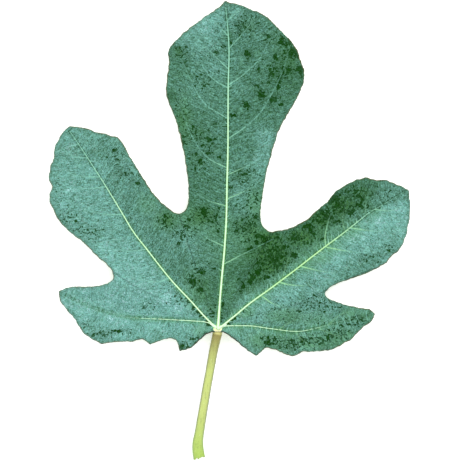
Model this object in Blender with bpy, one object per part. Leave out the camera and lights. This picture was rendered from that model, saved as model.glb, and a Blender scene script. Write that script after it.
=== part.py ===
"""Fig leaf: a five-lobed blade with its ribs and raised net, and its round leaf stalk.

The blade is one thin waved sheet. Its outline and ribs lie on one triangulation, which the upper
face and the underside share, and every height comes from a formula of the place in the leaf.
The tables are in millimetres from the joint, where the stalk meets the blade: +X to the right
and +Y toward the tip, seen from above. The model is in metres, +Z up, with its origin on the
surface that the leaf lies on, under the middle of its box.
"""

import math

import bmesh
import bpy
import numpy as np
from mathutils import Vector
from mathutils.geometry import delaunay_2d_cdt

MM = 0.001

# Sizes in millimetres
BLADE_THICKNESS = 0.75
GRID_STEP = 2.85
OUTLINE_STEP = 3.0
RIB_STEP = 3.2
CLEAR_OF_LINES = 1.45
GAP_AT_RIB_SIDE = 0.85
GAP_AT_SIDE_RIB = 1.3
HEIGHT_AT_JOINT = 8.8
HEIGHT_AT_REST = 1.9
HEIGHT_AT_FREE_TIP = 3.2
TURN_UP = 0.87
PANEL_RISE = 6.0
PANEL_REACH = 20.0
EDGE_DROOP = 1.3
EDGE_DROOP_REACH = 5.0
WAVE_HEIGHT = 3.0
WAVE_REACH = 17.0
WAVES_START = 30.0
SWELL_HEIGHT = 1.5
LOWEST_TOP = 1.5
FLOOR_SOFTNESS = 0.4
RIB_DEPTH_AT_JOINT = 2.2
RIB_DEPTH_AT_TIP = 0.35
RIB_HALF_WIDTH_AT_JOINT = 2.0
RIB_HALF_WIDTH_AT_TIP = 1.0
RIB_GROOVE = 0.35
RIB_GROOVE_REACH = 1.6
SIDE_RIB_DEPTH = 1.15
SIDE_RIB_REACH = 1.1
SIDE_RIB_FADE = 9.0
SIDE_RIB_LEFT_AT_EDGE = 0.4
SIDE_VALLEY_DEPTH = 0.55
SIDE_VALLEY_REACH = 2.6
NET_RIDGE = 0.5
NET_GROOVE = 0.22
NET_LEVEL = 0.3
NET_SLOPE = 1.1
NET_FADE = 3.0
JOINT_BOSS_DEPTH = 2.1
JOINT_BOSS_REACH = 4.0
REST_REACH = 5.5
REST_RING = 2.6
TIP_TO_REST = 20.0
STALK_RADIUS = 2.2
STALK_GAP = 0.35

# Slow sine waves over the blade: the lengths along x and y that each is drawn out by, and its shift
EDGE_WAVES = [(7.3, 15.0, 1.0), (-19.0, 8.4, 2.2)]
SWELL_ALONG_X = (23.0, 0.6)
SWELL_ALONG_Y = (28.0, -0.4)
DRIFT_STEADY = 1.3
DRIFT_SLANTED = 0.9

# The blade's edge, one run from each tip, tooth or corner to the next, counter-clockwise
EDGE_MIDDLE_TIP_TO_LEFT_BASE_TIP = [
    (3.5, 164.5), (-0.8, 160.6), (-6.8, 156.5), (-14.0, 150.8), (-19.0, 146.5), (-23.6, 141.5),
    (-24.8, 137.8), (-24.4, 133.0), (-25.4, 126.0), (-25.8, 118.0), (-23.8, 111.5), (-20.9, 104.5),
    (-18.6, 96.0), (-16.8, 87.2), (-15.3, 78.0), (-14.6, 69.0), (-15.2, 62.5), (-17.4, 58.8),
    (-21.2, 58.6), (-26.0, 61.8), (-31.0, 66.5), (-36.5, 74.6), (-43.9, 86.4), (-48.4, 94.5),
    (-53.0, 97.0), (-59.8, 98.7), (-67.0, 101.0), (-72.2, 101.8), (-75.6, 101.0), (-79.1, 96.7),
    (-81.8, 89.8), (-81.9, 86.0), (-83.9, 81.0), (-84.2, 75.4), (-82.6, 71.4), (-84.1, 67.2),
    (-82.9, 61.7), (-79.3, 54.8), (-73.3, 48.5), (-66.5, 43.2), (-61.2, 37.6), (-55.6, 33.0),
    (-52.5, 28.4), (-52.6, 25.0), (-56.7, 22.9), (-64.2, 21.7), (-73.7, 21.4), (-80.0, 19.3),
]
EDGE_LEFT_BASE_TIP_TO_OUTER_TOOTH = [
    (-80.0, 19.3), (-78.3, 13.4), (-73.4, 7.6), (-69.1, 1.0), (-65.9, -2.8), (-59.6, -6.5),
    (-57.0, -7.0), (-51.5, -5.9), (-43.4, -5.6), (-38.5, -4.7), (-36.0, -5.4), (-33.9, -7.0),
]
EDGE_OUTER_TOOTH_TO_INNER_TOOTH = [
    (-33.9, -7.0), (-27.2, -4.7), (-22.8, -4.2), (-20.4, -5.7), (-18.9, -10.3),
]
EDGE_INNER_TOOTH_TO_JOINT = [
    (-18.9, -10.3), (-13.8, -8.9), (-9.7, -5.4), (-6.5, -2.4), (-3.0, -0.9),
]
EDGE_AT_JOINT = [(-3.0, -0.9), (2.6, -0.9)]
EDGE_JOINT_TO_RIGHT_BASE_TIP = [
    (2.6, -0.9), (6.6, -3.2), (12.9, -8.4), (18.4, -12.2), (20.8, -11.2), (23.3, -8.9),
    (28.4, -9.7), (33.6, -12.1), (37.6, -13.0), (42.8, -11.0), (49.0, -10.6), (55.1, -10.1),
    (61.2, -7.7), (66.7, -4.6), (71.2, -0.2), (76.9, 4.6), (78.7, 8.0),
]
EDGE_RIGHT_BASE_TIP_TO_RIGHT_TIP = [
    (78.7, 8.0), (75.6, 10.3), (68.9, 11.2), (62.3, 12.8), (55.6, 15.4), (53.2, 18.2),
    (55.2, 20.7), (59.6, 23.4), (68.3, 26.4), (75.4, 29.1), (83.3, 33.3), (86.4, 36.8),
    (90.3, 40.0), (93.6, 46.2), (95.3, 53.5), (96.1, 60.0), (95.7, 68.8), (94.7, 70.4),
]
EDGE_RIGHT_TIP_TO_MIDDLE_TIP = [
    (94.7, 70.4), (88.4, 73.2), (84.0, 74.9), (78.6, 75.0), (73.7, 76.0), (69.4, 75.0),
    (63.4, 72.4), (58.2, 68.4), (54.9, 64.2), (49.2, 59.5), (43.8, 54.8), (37.2, 51.4),
    (29.6, 49.5), (25.2, 49.3), (22.5, 51.7), (21.0, 57.0), (21.7, 64.8), (23.7, 76.3),
    (26.1, 86.1), (29.7, 98.1), (33.5, 105.8), (37.9, 113.2), (42.3, 122.4), (43.1, 129.0),
    (41.3, 134.3), (39.5, 140.0), (35.2, 146.0), (31.4, 149.1), (26.5, 154.4), (22.6, 157.4),
    (17.2, 159.8), (11.2, 162.3), (3.5, 164.5),
]
EDGE_RUNS = [
    EDGE_MIDDLE_TIP_TO_LEFT_BASE_TIP,
    EDGE_LEFT_BASE_TIP_TO_OUTER_TOOTH,
    EDGE_OUTER_TOOTH_TO_INNER_TOOTH,
    EDGE_INNER_TOOTH_TO_JOINT,
    EDGE_AT_JOINT,
    EDGE_JOINT_TO_RIGHT_BASE_TIP,
    EDGE_RIGHT_BASE_TIP_TO_RIGHT_TIP,
    EDGE_RIGHT_TIP_TO_MIDDLE_TIP,
]

# The five main ribs, from the joint to each lobe's tip
MIDDLE_RIB = [
    (0.0, 0.5), (1.0, 15.0), (2.0, 27.0), (3.4, 42.5), (4.2, 57.0), (4.5, 73.5), (4.9, 88.0),
    (5.0, 104.0), (5.1, 122.5), (5.5, 139.0), (4.9, 151.0), (3.9, 161.5),
]
LEFT_RIB = [
    (0.0, 0.5), (-6.2, 6.4), (-13.5, 14.5), (-23.8, 25.5), (-35.6, 40.4), (-42.3, 49.0),
    (-47.7, 57.9), (-56.4, 72.3), (-66.8, 88.4), (-71.3, 95.1), (-74.4, 99.6),
]
RIGHT_RIB = [
    (0.0, 0.5), (8.5, 7.3), (16.1, 13.6), (26.4, 21.0), (36.1, 28.2), (46.5, 36.2), (53.8, 41.8),
    (62.3, 48.1), (70.5, 54.6), (76.2, 59.0), (83.3, 63.1), (93.0, 68.9),
]
LEFT_BASE_RIB = [
    (0.0, 0.5), (-5.0, 3.8), (-14.0, 4.7), (-26.7, 5.3), (-44.0, 6.2), (-54.3, 8.6),
    (-65.7, 12.4), (-78.0, 18.2),
]
RIGHT_BASE_RIB = [
    (0.0, 0.5), (3.1, 2.0), (9.0, 2.3), (17.2, 2.1), (26.0, 0.8), (38.7, -0.7), (47.4, 0.5),
    (61.0, 4.0), (76.6, 7.7),
]
MAIN_RIBS = [MIDDLE_RIB, LEFT_RIB, RIGHT_RIB, LEFT_BASE_RIB, RIGHT_BASE_RIB]

# Side ribs, each from its main rib outward, ending short of the edge
SIDE_RIBS = [
    [(3.1, 41.8), (-4.7, 45.6), (-11.2, 50.2)],
    [(3.8, 62.1), (-5.1, 64.8), (-12.2, 69.2)],
    [(4.4, 81.2), (-3.5, 85.0), (-9.5, 91.0), (-14.1, 99.2), (-18.2, 109.0), (-22.3, 116.5)],
    [(4.8, 105.9), (-5.0, 111.8), (-10.0, 117.8), (-14.4, 126.5), (-17.7, 134.5)],
    [(4.6, 121.4), (-1.5, 124.9), (-6.4, 129.8), (-9.5, 136.5)],
    [(4.8, 131.1), (-3.5, 139.0), (-11.2, 146.5)],
    [(4.9, 147.5), (0.5, 152.0), (-3.0, 155.5)],
    [(2.8, 32.9), (12.6, 38.0), (20.8, 42.1), (27.6, 45.6)],
    [(4.5, 65.5), (15.3, 70.3), (19.7, 73.0)],
    [(4.8, 77.7), (12.3, 81.0), (18.3, 84.0), (22.6, 88.0)],
    [(5.5, 96.0), (13.9, 101.8), (20.7, 108.2), (26.2, 116.8), (32.7, 130.3), (35.0, 138.5)],
    [(5.8, 123.0), (12.9, 128.0), (20.5, 135.3), (26.5, 146.0)],
    [(5.8, 141.2), (14.2, 150.4), (18.0, 155.5)],
    [(4.8, 155.0), (11.0, 160.0)],
    [(-36.2, 40.4), (-43.0, 39.5), (-51.0, 40.0), (-58.0, 41.8)],
    [(-48.2, 57.8), (-53.8, 57.7), (-60.2, 58.5), (-67.3, 60.7), (-75.0, 64.5)],
    [(-56.5, 71.5), (-68.5, 70.5), (-78.5, 72.5)],
    [(-59.5, 76.5), (-71.1, 77.2), (-79.0, 81.5)],
    [(-65.5, 86.0), (-72.5, 87.0), (-78.0, 91.0)],
    [(-24.4, 26.0), (-29.9, 24.1), (-38.0, 25.0), (-46.5, 27.5)],
    [(-28.2, 31.1), (-24.0, 35.2), (-21.5, 43.0), (-21.5, 51.0)],
    [(-42.0, 48.6), (-37.0, 57.0), (-36.0, 66.0)],
    [(-51.0, 63.0), (-47.0, 72.0), (-47.5, 82.0)],
    [(-59.0, 76.0), (-56.0, 84.0), (-57.0, 93.0)],
    [(30.4, 23.9), (38.0, 22.4), (47.5, 22.6)],
    [(41.5, 31.8), (50.8, 29.6), (59.5, 28.3)],
    [(54.0, 41.5), (65.0, 39.4), (76.0, 38.9), (84.5, 41.0)],
    [(67.0, 51.0), (74.8, 49.8), (81.3, 49.5), (89.5, 52.5)],
    [(78.5, 60.3), (86.0, 59.6), (92.0, 61.5)],
    [(32.0, 25.2), (34.5, 34.0), (38.5, 43.5)],
    [(53.8, 42.0), (53.7, 48.0), (56.0, 57.5)],
    [(63.5, 49.0), (62.3, 56.5), (64.5, 66.0)],
    [(74.0, 57.3), (74.0, 64.5), (76.5, 71.5)],
    [(-26.7, 5.3), (-32.0, 10.5), (-38.0, 15.5)],
    [(-44.0, 6.2), (-50.5, 12.0), (-57.0, 17.5)],
    [(-33.5, 5.6), (-39.0, 1.5), (-44.0, -1.5)],
    [(-54.3, 8.6), (-60.0, 4.5), (-64.5, 1.5)],
    [(-14.0, 4.7), (-17.0, 0.5), (-18.5, -5.0)],
    [(22.0, 17.0), (28.0, 13.0), (36.0, 11.0)],
    [(17.2, 2.1), (22.0, -2.0), (25.0, -5.0)],
    [(38.7, -0.7), (41.5, -4.5), (46.0, -7.5)],
    [(30.0, 0.2), (38.0, 5.0), (47.0, 8.5)],
    [(50.0, 1.0), (56.5, -2.0), (62.0, -3.5)],
    [(55.0, 2.2), (60.5, 7.0), (66.0, 9.0)],
]

# Where the underside comes down to the surface: the two base lobes and the middle lobe
REST_SPOTS = [(-66.5, 12.9), (62.5, 4.4), (4.9, 149.0)]

# The stalk's middle line, its height over the surface and its radius, from the joint to the cut end
STALK_ROUTE = [
    (-0.3, 5.9, 2.35), (-0.9, 5.75, 2.25), (-2.4, 5.3, 2.15), (-4.2, 4.6, 2.1), (-6.0, 4.0, 2.15),
    (-7.7, 3.5, 2.2), (-9.3, 3.15, 2.3), (-10.1, 3.1, 2.6), (-9.9, 3.15, 2.85), (-9.2, 3.2, 2.95),
]
STALK_Y = [0.0, -3.0, -10.0, -20.0, -30.0, -40.0, -50.0, -55.5, -59.6, -62.8]
STALK_POINTS = 26
SHARP_CORNER = math.radians(60.0)

LEAF_GREEN = (0.075, 0.175, 0.085, 1.0)
STALK_GREEN = (0.50, 0.60, 0.20, 1.0)


def clear_scene():
    """Remove every object from the open file."""
    for item in list(bpy.data.objects):
        bpy.data.objects.remove(item, do_unlink=True)


def new_collection(name):
    """Return a new collection in the scene."""
    collection = bpy.data.collections.new(name)
    bpy.context.scene.collection.children.link(collection)
    return collection


def leaf_material(name, color, roughness):
    """Return a plain material in the piece's own colour."""
    material = bpy.data.materials.new(name)
    material.use_nodes = True
    shader = material.node_tree.nodes["Principled BSDF"]
    shader.inputs["Base Color"].default_value = color
    shader.inputs["Roughness"].default_value = roughness
    shader.inputs["Metallic"].default_value = 0.0
    return material


def smooth_through(points, step):
    """Return points about a step apart on a smooth curve through the given ones, ends kept."""
    knots = [np.array(point, dtype=float) for point in points]
    knots.insert(0, 2.0 * knots[0] - knots[1])
    knots.append(2.0 * knots[-1] - knots[-2])
    fine = []
    for before, start, end, after in zip(knots, knots[1:], knots[2:], knots[3:]):
        for part in np.linspace(0.0, 1.0, 12, endpoint=False):
            pull = 2.0 * start + (end - before) * part
            bend = (2.0 * before - 5.0 * start + 4.0 * end - after) * part**2
            twist = (3.0 * start - before - 3.0 * end + after) * part**3
            fine.append((pull + bend + twist) / 2.0)
    fine.append(knots[-2])
    fine = np.array(fine)
    along = np.concatenate([[0.0], np.cumsum(np.linalg.norm(np.diff(fine, axis=0), axis=1))])
    count = max(1, round(along[-1] / step))
    places = np.linspace(0.0, along[-1], count + 1)
    return np.stack([np.interp(places, along, column) for column in fine.T], axis=1)


def leaf_outline():
    """Return the closed outline as one list of points, without repeating the first."""
    runs = [smooth_through(run, OUTLINE_STEP)[:-1] for run in EDGE_RUNS]
    return np.concatenate(runs)


def segments_of(lines, closed=False):
    """Return the start and end points of every segment of the lines."""
    starts = []
    ends = []
    for line in lines:
        starts.append(line if closed else line[:-1])
        ends.append(np.roll(line, -1, axis=0) if closed else line[1:])
    return np.concatenate(starts), np.concatenate(ends)


def distance_to(points, segments):
    """Return each point's distance to the nearest segment."""
    starts, ends = segments
    spans = ends - starts
    offsets = points[:, None, :] - starts[None, :, :]
    along = np.einsum("psk,sk->ps", offsets, spans) / np.einsum("sk,sk->s", spans, spans)
    nearest = offsets - np.clip(along, 0.0, 1.0)[:, :, None] * spans[None, :, :]
    return np.sqrt(np.einsum("psk,psk->ps", nearest, nearest).min(axis=1))


def inside(points, outline):
    """Return which points lie inside the outline."""
    starts = outline
    ends = np.roll(outline, -1, axis=0)
    x = points[:, 0:1]
    y = points[:, 1:2]
    spans = (starts[:, 1] > y) != (ends[:, 1] > y)
    rise = np.where(ends[:, 1] == starts[:, 1], 1.0, ends[:, 1] - starts[:, 1])
    crossing = starts[:, 0] + (y - starts[:, 1]) * (ends[:, 0] - starts[:, 0]) / rise
    return (spans & (x < crossing)).sum(axis=1) % 2 == 1


def net_drift(points):
    """Return a gentle drift of the net, so that its meshes are not all alike."""
    x = points[:, 0]
    y = points[:, 1]
    drift_x = DRIFT_STEADY * np.sin(y / 9.0 + 0.7) + DRIFT_SLANTED * np.sin(x / 13.0 + y / 17.0)
    drift_y = DRIFT_STEADY * np.sin(x / 10.0 + 2.1) + DRIFT_SLANTED * np.sin(y / 12.0 - x / 19.0)
    return np.stack([drift_x, drift_y], axis=1)


def net_points():
    """Return the points of the net: a triangle grid that drifts over the leaf."""
    row_step = GRID_STEP * math.sqrt(0.75)
    points = []
    for row in range(-8, 72):
        for column in range(-36, 40):
            points.append(((column + 0.5 * (row % 2)) * GRID_STEP, row * row_step))
    points = np.array(points)
    return points + net_drift(points)


def net_ridge(points):
    """Return 1 on the six-sided meshes' borders, four grid steps across, and 0 inside them."""
    still = points
    for _ in range(4):
        still = points - net_drift(still)
    wave = 2.0 * math.pi / (3.0 * GRID_STEP)
    total = 0.0
    for turn in (0.0, math.pi / 3.0, 2.0 * math.pi / 3.0):
        direction = np.array([math.cos(turn), math.sin(turn)])
        total = total + np.cos(wave * still @ direction)
    return np.clip((NET_LEVEL - total) / NET_SLOPE, 0.0, 1.0)


class Leaf:
    """The blade's lines, and the heights of its two faces over any place in it."""

    def __init__(self):
        self.outline = leaf_outline()
        self.edge = segments_of([self.outline], closed=True)
        self.ribs = [smooth_through(rib, RIB_STEP) for rib in MAIN_RIBS]
        self.side_ribs = [smooth_through(rib, RIB_STEP) for rib in SIDE_RIBS]
        self.side_segments = segments_of(self.side_ribs)
        tips = sorted((math.atan2(rib[-1][1], rib[-1][0]), rib[-1]) for rib in MAIN_RIBS)
        self.lobe_turns = [turn for turn, tip in tips]
        self.lobe_lengths = [math.hypot(*tip) for turn, tip in tips]
        self.lobe_lows = [self.tip_height(tip) for turn, tip in tips]

    def tip_height(self, tip):
        """Return how low a lobe comes down: its rib lies on the surface only at a rest spot."""
        rests = any(math.dist(tip, spot) < TIP_TO_REST for spot in REST_SPOTS)
        return HEIGHT_AT_REST if rests else HEIGHT_AT_FREE_TIP

    def rib_profile(self, points):
        """Return the distance to the nearest main rib, and the main ribs' relief from 0 to 1."""
        nearest = np.full(len(points), 1e9)
        relief = np.zeros(len(points))
        for rib in self.ribs:
            away = distance_to(points, segments_of([rib]))
            length = np.linalg.norm(rib[-1] - rib[0])
            along = np.clip(np.linalg.norm(points - rib[0], axis=1) / length, 0.0, 1.0)
            width = RIB_HALF_WIDTH_AT_JOINT + (RIB_HALF_WIDTH_AT_TIP - RIB_HALF_WIDTH_AT_JOINT) * along
            depth = RIB_DEPTH_AT_JOINT + (RIB_DEPTH_AT_TIP - RIB_DEPTH_AT_JOINT) * along
            relief = np.maximum(relief, depth * np.clip(1.0 - (away / width) ** 2, 0.0, 1.0))
            nearest = np.minimum(nearest, away)
        return nearest, relief

    def heights(self, points):
        """Return the heights of the upper face and of the underside."""
        x = points[:, 0]
        y = points[:, 1]
        edge = distance_to(points, self.edge)
        rib, rib_relief = self.rib_profile(points)
        side = distance_to(points, self.side_segments)
        joint = np.hypot(x, y)

        turn = np.arctan2(y, x)
        turn = np.where(turn < -0.5 * math.pi, turn + 2.0 * math.pi, turn)
        reach = joint / np.interp(turn, self.lobe_turns, self.lobe_lengths)
        low = np.interp(turn, self.lobe_turns, self.lobe_lows)
        base = low + (HEIGHT_AT_JOINT - low) * (0.5 + 0.5 * np.cos(math.pi * reach / TURN_UP))
        panel = PANEL_RISE * np.tanh(rib / PANEL_REACH)
        droop = EDGE_DROOP * np.exp(-edge / EDGE_DROOP_REACH)
        wave = sum(np.sin(x / along_x + y / along_y + shift) for along_x, along_y, shift in EDGE_WAVES)
        wave = wave * np.exp(-edge / WAVE_REACH) * np.clip(joint / WAVES_START, 0.0, 1.0)
        wave = WAVE_HEIGHT * wave / len(EDGE_WAVES)
        swell = np.sin(x / SWELL_ALONG_X[0] + SWELL_ALONG_X[1])
        swell = SWELL_HEIGHT * swell * np.cos(y / SWELL_ALONG_Y[0] + SWELL_ALONG_Y[1])
        sheet = base + panel - droop + wave + swell
        sheet = LOWEST_TOP + FLOOR_SOFTNESS * np.logaddexp(0.0, (sheet - LOWEST_TOP) / FLOOR_SOFTNESS)
        for spot in REST_SPOTS:
            away = np.hypot(x - spot[0], y - spot[1])
            sheet = sheet + (BLADE_THICKNESS - sheet) * np.exp(-((away / REST_REACH) ** 4))

        net = net_ridge(points) * np.clip(edge / NET_FADE, 0.0, 1.0)
        side_groove = SIDE_VALLEY_DEPTH * np.exp(-((side / SIDE_VALLEY_REACH) ** 2))
        rib_groove = RIB_GROOVE * np.exp(-((rib / RIB_GROOVE_REACH) ** 2))
        top = sheet - side_groove - rib_groove - NET_GROOVE * net
        side_relief = SIDE_RIB_DEPTH * np.exp(-((side / SIDE_RIB_REACH) ** 2))
        side_relief = side_relief * np.clip(edge / SIDE_RIB_FADE, SIDE_RIB_LEFT_AT_EDGE, 1.0)
        boss = JOINT_BOSS_DEPTH * np.exp(-((joint / JOINT_BOSS_REACH) ** 2))
        relief = np.maximum(rib_relief, np.maximum(side_relief, NET_RIDGE * net))
        under = top - BLADE_THICKNESS - relief - boss
        under = np.maximum(under, 0.0)
        top = np.maximum(top, under + BLADE_THICKNESS)
        return top, under


def beside(line, half_widths):
    """Return the line moved to the side by a width at each of its points."""
    along = np.gradient(line, axis=0)
    along = along / np.linalg.norm(along, axis=1)[:, None]
    across = np.stack([-along[:, 1], along[:, 0]], axis=1)
    return line + across * half_widths[:, None]


def clear_runs(line, taken, gap):
    """Return the stretches of a line that keep a gap to the segments already taken."""
    clear = distance_to(line, taken) > gap
    runs = []
    run = []
    for point, free in zip(line, clear):
        if free:
            run.append(point)
        elif run:
            runs.append(np.array(run))
            run = []
    if run:
        runs.append(np.array(run))
    return [run for run in runs if len(run) > 1]


def blade_lines(leaf):
    """Return the lines that the triangles follow: rib middles, rib sides and side ribs."""
    wanted = [(rib, GAP_AT_RIB_SIDE) for rib in leaf.ribs]
    for rib in leaf.ribs:
        part = np.linspace(0.0, 1.0, len(rib))
        width = RIB_HALF_WIDTH_AT_JOINT + (RIB_HALF_WIDTH_AT_TIP - RIB_HALF_WIDTH_AT_JOINT) * part
        wanted.append((beside(rib, width), GAP_AT_RIB_SIDE))
        wanted.append((beside(rib, -width), GAP_AT_RIB_SIDE))
    wanted.extend((rib, GAP_AT_SIDE_RIB) for rib in leaf.side_ribs)
    lines = []
    taken = leaf.edge
    for line, gap in wanted:
        runs = clear_runs(line, taken, gap)
        lines.extend(runs)
        if runs:
            starts, ends = segments_of(runs)
            taken = (np.concatenate([taken[0], starts]), np.concatenate([taken[1], ends]))
    return lines


def rest_rings():
    """Return a small ring of points and its middle for each spot that the leaf rests on."""
    points = []
    for x, y in REST_SPOTS:
        for step in range(8):
            turn = step * math.pi / 4.0
            points.append((x + REST_RING * math.cos(turn), y + REST_RING * math.sin(turn)))
    return np.array(points)


def triangulate(leaf):
    """Return the points and triangles of the blade, seen from above."""
    lines = blade_lines(leaf)
    taken = segments_of(lines)
    rings = rest_rings()
    rings = rings[distance_to(rings, taken) > GAP_AT_RIB_SIDE]
    grid = net_points()
    grid = grid[inside(grid, leaf.outline)]
    grid = grid[distance_to(grid, leaf.edge) > CLEAR_OF_LINES]
    grid = grid[distance_to(grid, taken) > CLEAR_OF_LINES]
    for spot in REST_SPOTS:
        grid = grid[np.hypot(grid[:, 0] - spot[0], grid[:, 1] - spot[1]) > REST_RING + CLEAR_OF_LINES]

    points = [Vector(point) for point in leaf.outline]
    edges = []
    for line in lines:
        first = len(points)
        points.extend(Vector(point) for point in line)
        edges.extend((first + index, first + index + 1) for index in range(len(line) - 1))
    points.extend(Vector(point) for point in rings)
    points.extend(Vector(point) for point in grid)
    whole = [list(range(len(leaf.outline)))]
    result = delaunay_2d_cdt(points, edges, whole, 1, 0.01)
    return np.array([tuple(point) for point in result[0]]), result[2]


def make_blade(leaf, collection):
    """Build the blade: one sheet raised by the formula, and its underside with the same triangles."""
    flat, triangles = triangulate(leaf)
    top, under = leaf.heights(flat)
    grid = bmesh.new()
    for x, y in flat:
        grid.verts.new((x * MM, y * MM, 0.0))
    grid.verts.ensure_lookup_table()
    for triangle in triangles:
        grid.faces.new([grid.verts[index] for index in triangle])
    grid.verts.index_update()
    place = grid.verts.layers.int.new("place")
    for vert in grid.verts:
        vert[place] = vert.index
    raised = bmesh.ops.extrude_face_region(grid, geom=grid.faces[:], use_keep_orig=True)["geom"]
    upper = {item for item in raised if isinstance(item, bmesh.types.BMVert)}
    for vert in grid.verts:
        height = top if vert in upper else under
        vert.co.z = height[vert[place]] * MM
    bmesh.ops.triangulate(grid, faces=[face for face in grid.faces if len(face.verts) > 3])
    bmesh.ops.recalc_face_normals(grid, faces=grid.faces[:])
    mesh = bpy.data.meshes.new("leaf_blade")
    grid.to_mesh(mesh)
    grid.free()
    mesh.shade_smooth()
    mesh.set_sharp_from_angle(angle=SHARP_CORNER)
    mesh.materials.append(leaf_material("leaf_green", LEAF_GREEN, 0.5))
    blade = bpy.data.objects.new("leaf_blade", mesh)
    collection.objects.link(blade)
    return blade


def make_stalk(collection):
    """Build the stalk: a round tube that flares to its cut end, butted to the blade at the joint."""
    start = EDGE_AT_JOINT[0][1] - STALK_GAP
    route = [(x, start + y, z, radius) for (x, z, radius), y in zip(STALK_ROUTE, STALK_Y)]
    length = -STALK_Y[-1]
    smooth = smooth_through(route, length / STALK_POINTS)
    # The top end faces the blade square on
    smooth[1][0] = smooth[0][0]
    smooth[1][2] = smooth[0][2]
    curve = bpy.data.curves.new("petiole", "CURVE")
    curve.dimensions = "3D"
    curve.bevel_depth = STALK_RADIUS * MM
    curve.bevel_resolution = 4
    curve.use_fill_caps = True
    spline = curve.splines.new("POLY")
    spline.points.add(len(smooth) - 1)
    for point, (x, y, z, radius) in zip(spline.points, smooth):
        point.co = (x * MM, y * MM, z * MM, 1.0)
        point.radius = radius / STALK_RADIUS
    curve.materials.append(leaf_material("stalk_green", STALK_GREEN, 0.45))
    stalk = bpy.data.objects.new("petiole", curve)
    collection.objects.link(stalk)
    return stalk


def place_over_origin(pieces):
    """Move the pieces so that the origin lies under the middle of the leaf's box."""
    bpy.context.view_layer.update()
    corners = []
    for piece in pieces:
        evaluated = piece.evaluated_get(bpy.context.evaluated_depsgraph_get())
        mesh = evaluated.to_mesh()
        corners.extend(piece.matrix_world @ vert.co for vert in mesh.vertices)
        evaluated.to_mesh_clear()
    middle_x = (min(corner.x for corner in corners) + max(corner.x for corner in corners)) / 2.0
    middle_y = (min(corner.y for corner in corners) + max(corner.y for corner in corners)) / 2.0
    for piece in pieces:
        piece.location = (-middle_x, -middle_y, 0.0)


def main():
    """Build the fig leaf."""
    clear_scene()
    collection = new_collection("fig_leaf")
    blade = make_blade(Leaf(), collection)
    stalk = make_stalk(collection)
    place_over_origin([blade, stalk])
    bpy.context.view_layer.update()


main()
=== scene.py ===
"""Fig leaf: the looks of the blade, its ribs and veins, its hairs and its stalk.

The blade is drawn again with far finer triangles on the packed model's own outline and heights.
Plan positions are in millimetres from the joint, where the stalk meets the blade: +X to the right
and +Y toward the tip, seen from above. Objects are in metres, in the packed model's frame.
"""

import functools
import math
import random

import bmesh
import bpy
import numpy as np
from bpy.props import FloatProperty, FloatVectorProperty, IntProperty, PointerProperty
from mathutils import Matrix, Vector, kdtree, noise
from mathutils.geometry import delaunay_2d_cdt


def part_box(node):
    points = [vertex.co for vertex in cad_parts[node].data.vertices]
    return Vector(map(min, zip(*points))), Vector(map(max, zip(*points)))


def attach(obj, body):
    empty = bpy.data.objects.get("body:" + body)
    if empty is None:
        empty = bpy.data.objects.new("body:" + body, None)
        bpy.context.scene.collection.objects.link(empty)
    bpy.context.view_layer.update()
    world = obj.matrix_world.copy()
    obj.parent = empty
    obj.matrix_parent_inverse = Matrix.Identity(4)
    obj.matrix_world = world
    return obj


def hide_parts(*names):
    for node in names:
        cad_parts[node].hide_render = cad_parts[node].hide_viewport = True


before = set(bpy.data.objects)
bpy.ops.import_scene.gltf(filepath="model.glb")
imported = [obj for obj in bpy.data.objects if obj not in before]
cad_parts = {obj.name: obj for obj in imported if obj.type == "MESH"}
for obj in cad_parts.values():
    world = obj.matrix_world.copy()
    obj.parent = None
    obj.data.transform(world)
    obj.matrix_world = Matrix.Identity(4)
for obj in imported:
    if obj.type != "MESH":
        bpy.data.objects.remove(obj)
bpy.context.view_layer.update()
BLADE_LOW, BLADE_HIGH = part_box("leaf_blade")

bl_info = {
    "name": "Fig leaf",
    "version": (1, 0, 0),
    "blender": (4, 5, 0),
    "location": "3D View > Sidebar > Fig leaf",
    "description": "Makes a fig leaf with its veins, bloom, hairs and stalk",
    "category": "Add Mesh",
}

MM = 0.001

# Where the joint lies in the packed model: the blade's box reaches this far left of it and above it
REACH_LEFT_OF_JOINT = 84.25
REACH_ABOVE_JOINT = 164.5
JOINT_X = BLADE_LOW.x + REACH_LEFT_OF_JOINT * MM
JOINT_Y = BLADE_HIGH.y - REACH_ABOVE_JOINT * MM

# The sheet's height over the surface that it lies on, as in the packed model
BLADE_THICKNESS = 0.75
HEIGHT_AT_JOINT = 8.8
HEIGHT_AT_REST = 1.9
HEIGHT_AT_FREE_TIP = 3.2
TURN_UP = 0.87
PANEL_RISE = 6.0
PANEL_REACH = 20.0
EDGE_DROOP = 1.3
EDGE_DROOP_REACH = 5.0
WAVE_HEIGHT = 3.0
WAVE_REACH = 17.0
WAVES_START = 30.0
SWELL_HEIGHT = 1.5
LOWEST_TOP = 1.5
FLOOR_SOFTNESS = 0.4
RIB_DEPTH_AT_JOINT = 2.2
RIB_DEPTH_AT_TIP = 0.35
RIB_HALF_WIDTH_AT_JOINT = 2.0
RIB_HALF_WIDTH_AT_TIP = 1.0
RIB_GROOVE = 0.35
RIB_GROOVE_REACH = 1.6
SIDE_RIB_DEPTH = 1.15
SIDE_RIB_REACH = 1.1
SIDE_RIB_FADE = 9.0
SIDE_RIB_LEFT_AT_EDGE = 0.4
SIDE_VALLEY_DEPTH = 0.55
SIDE_VALLEY_REACH = 2.6
JOINT_BOSS_DEPTH = 2.1
JOINT_BOSS_REACH = 4.0
REST_REACH = 5.5
TIP_TO_REST = 20.0
REST_SPOTS = [(-66.5, 12.9), (62.5, 4.4), (4.9, 149.0)]
EDGE_WAVES = [(7.3, 15.0, 1.0), (-19.0, 8.4, 2.2)]
SWELL_ALONG_X = (23.0, 0.6)
SWELL_ALONG_Y = (28.0, -0.4)

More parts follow.
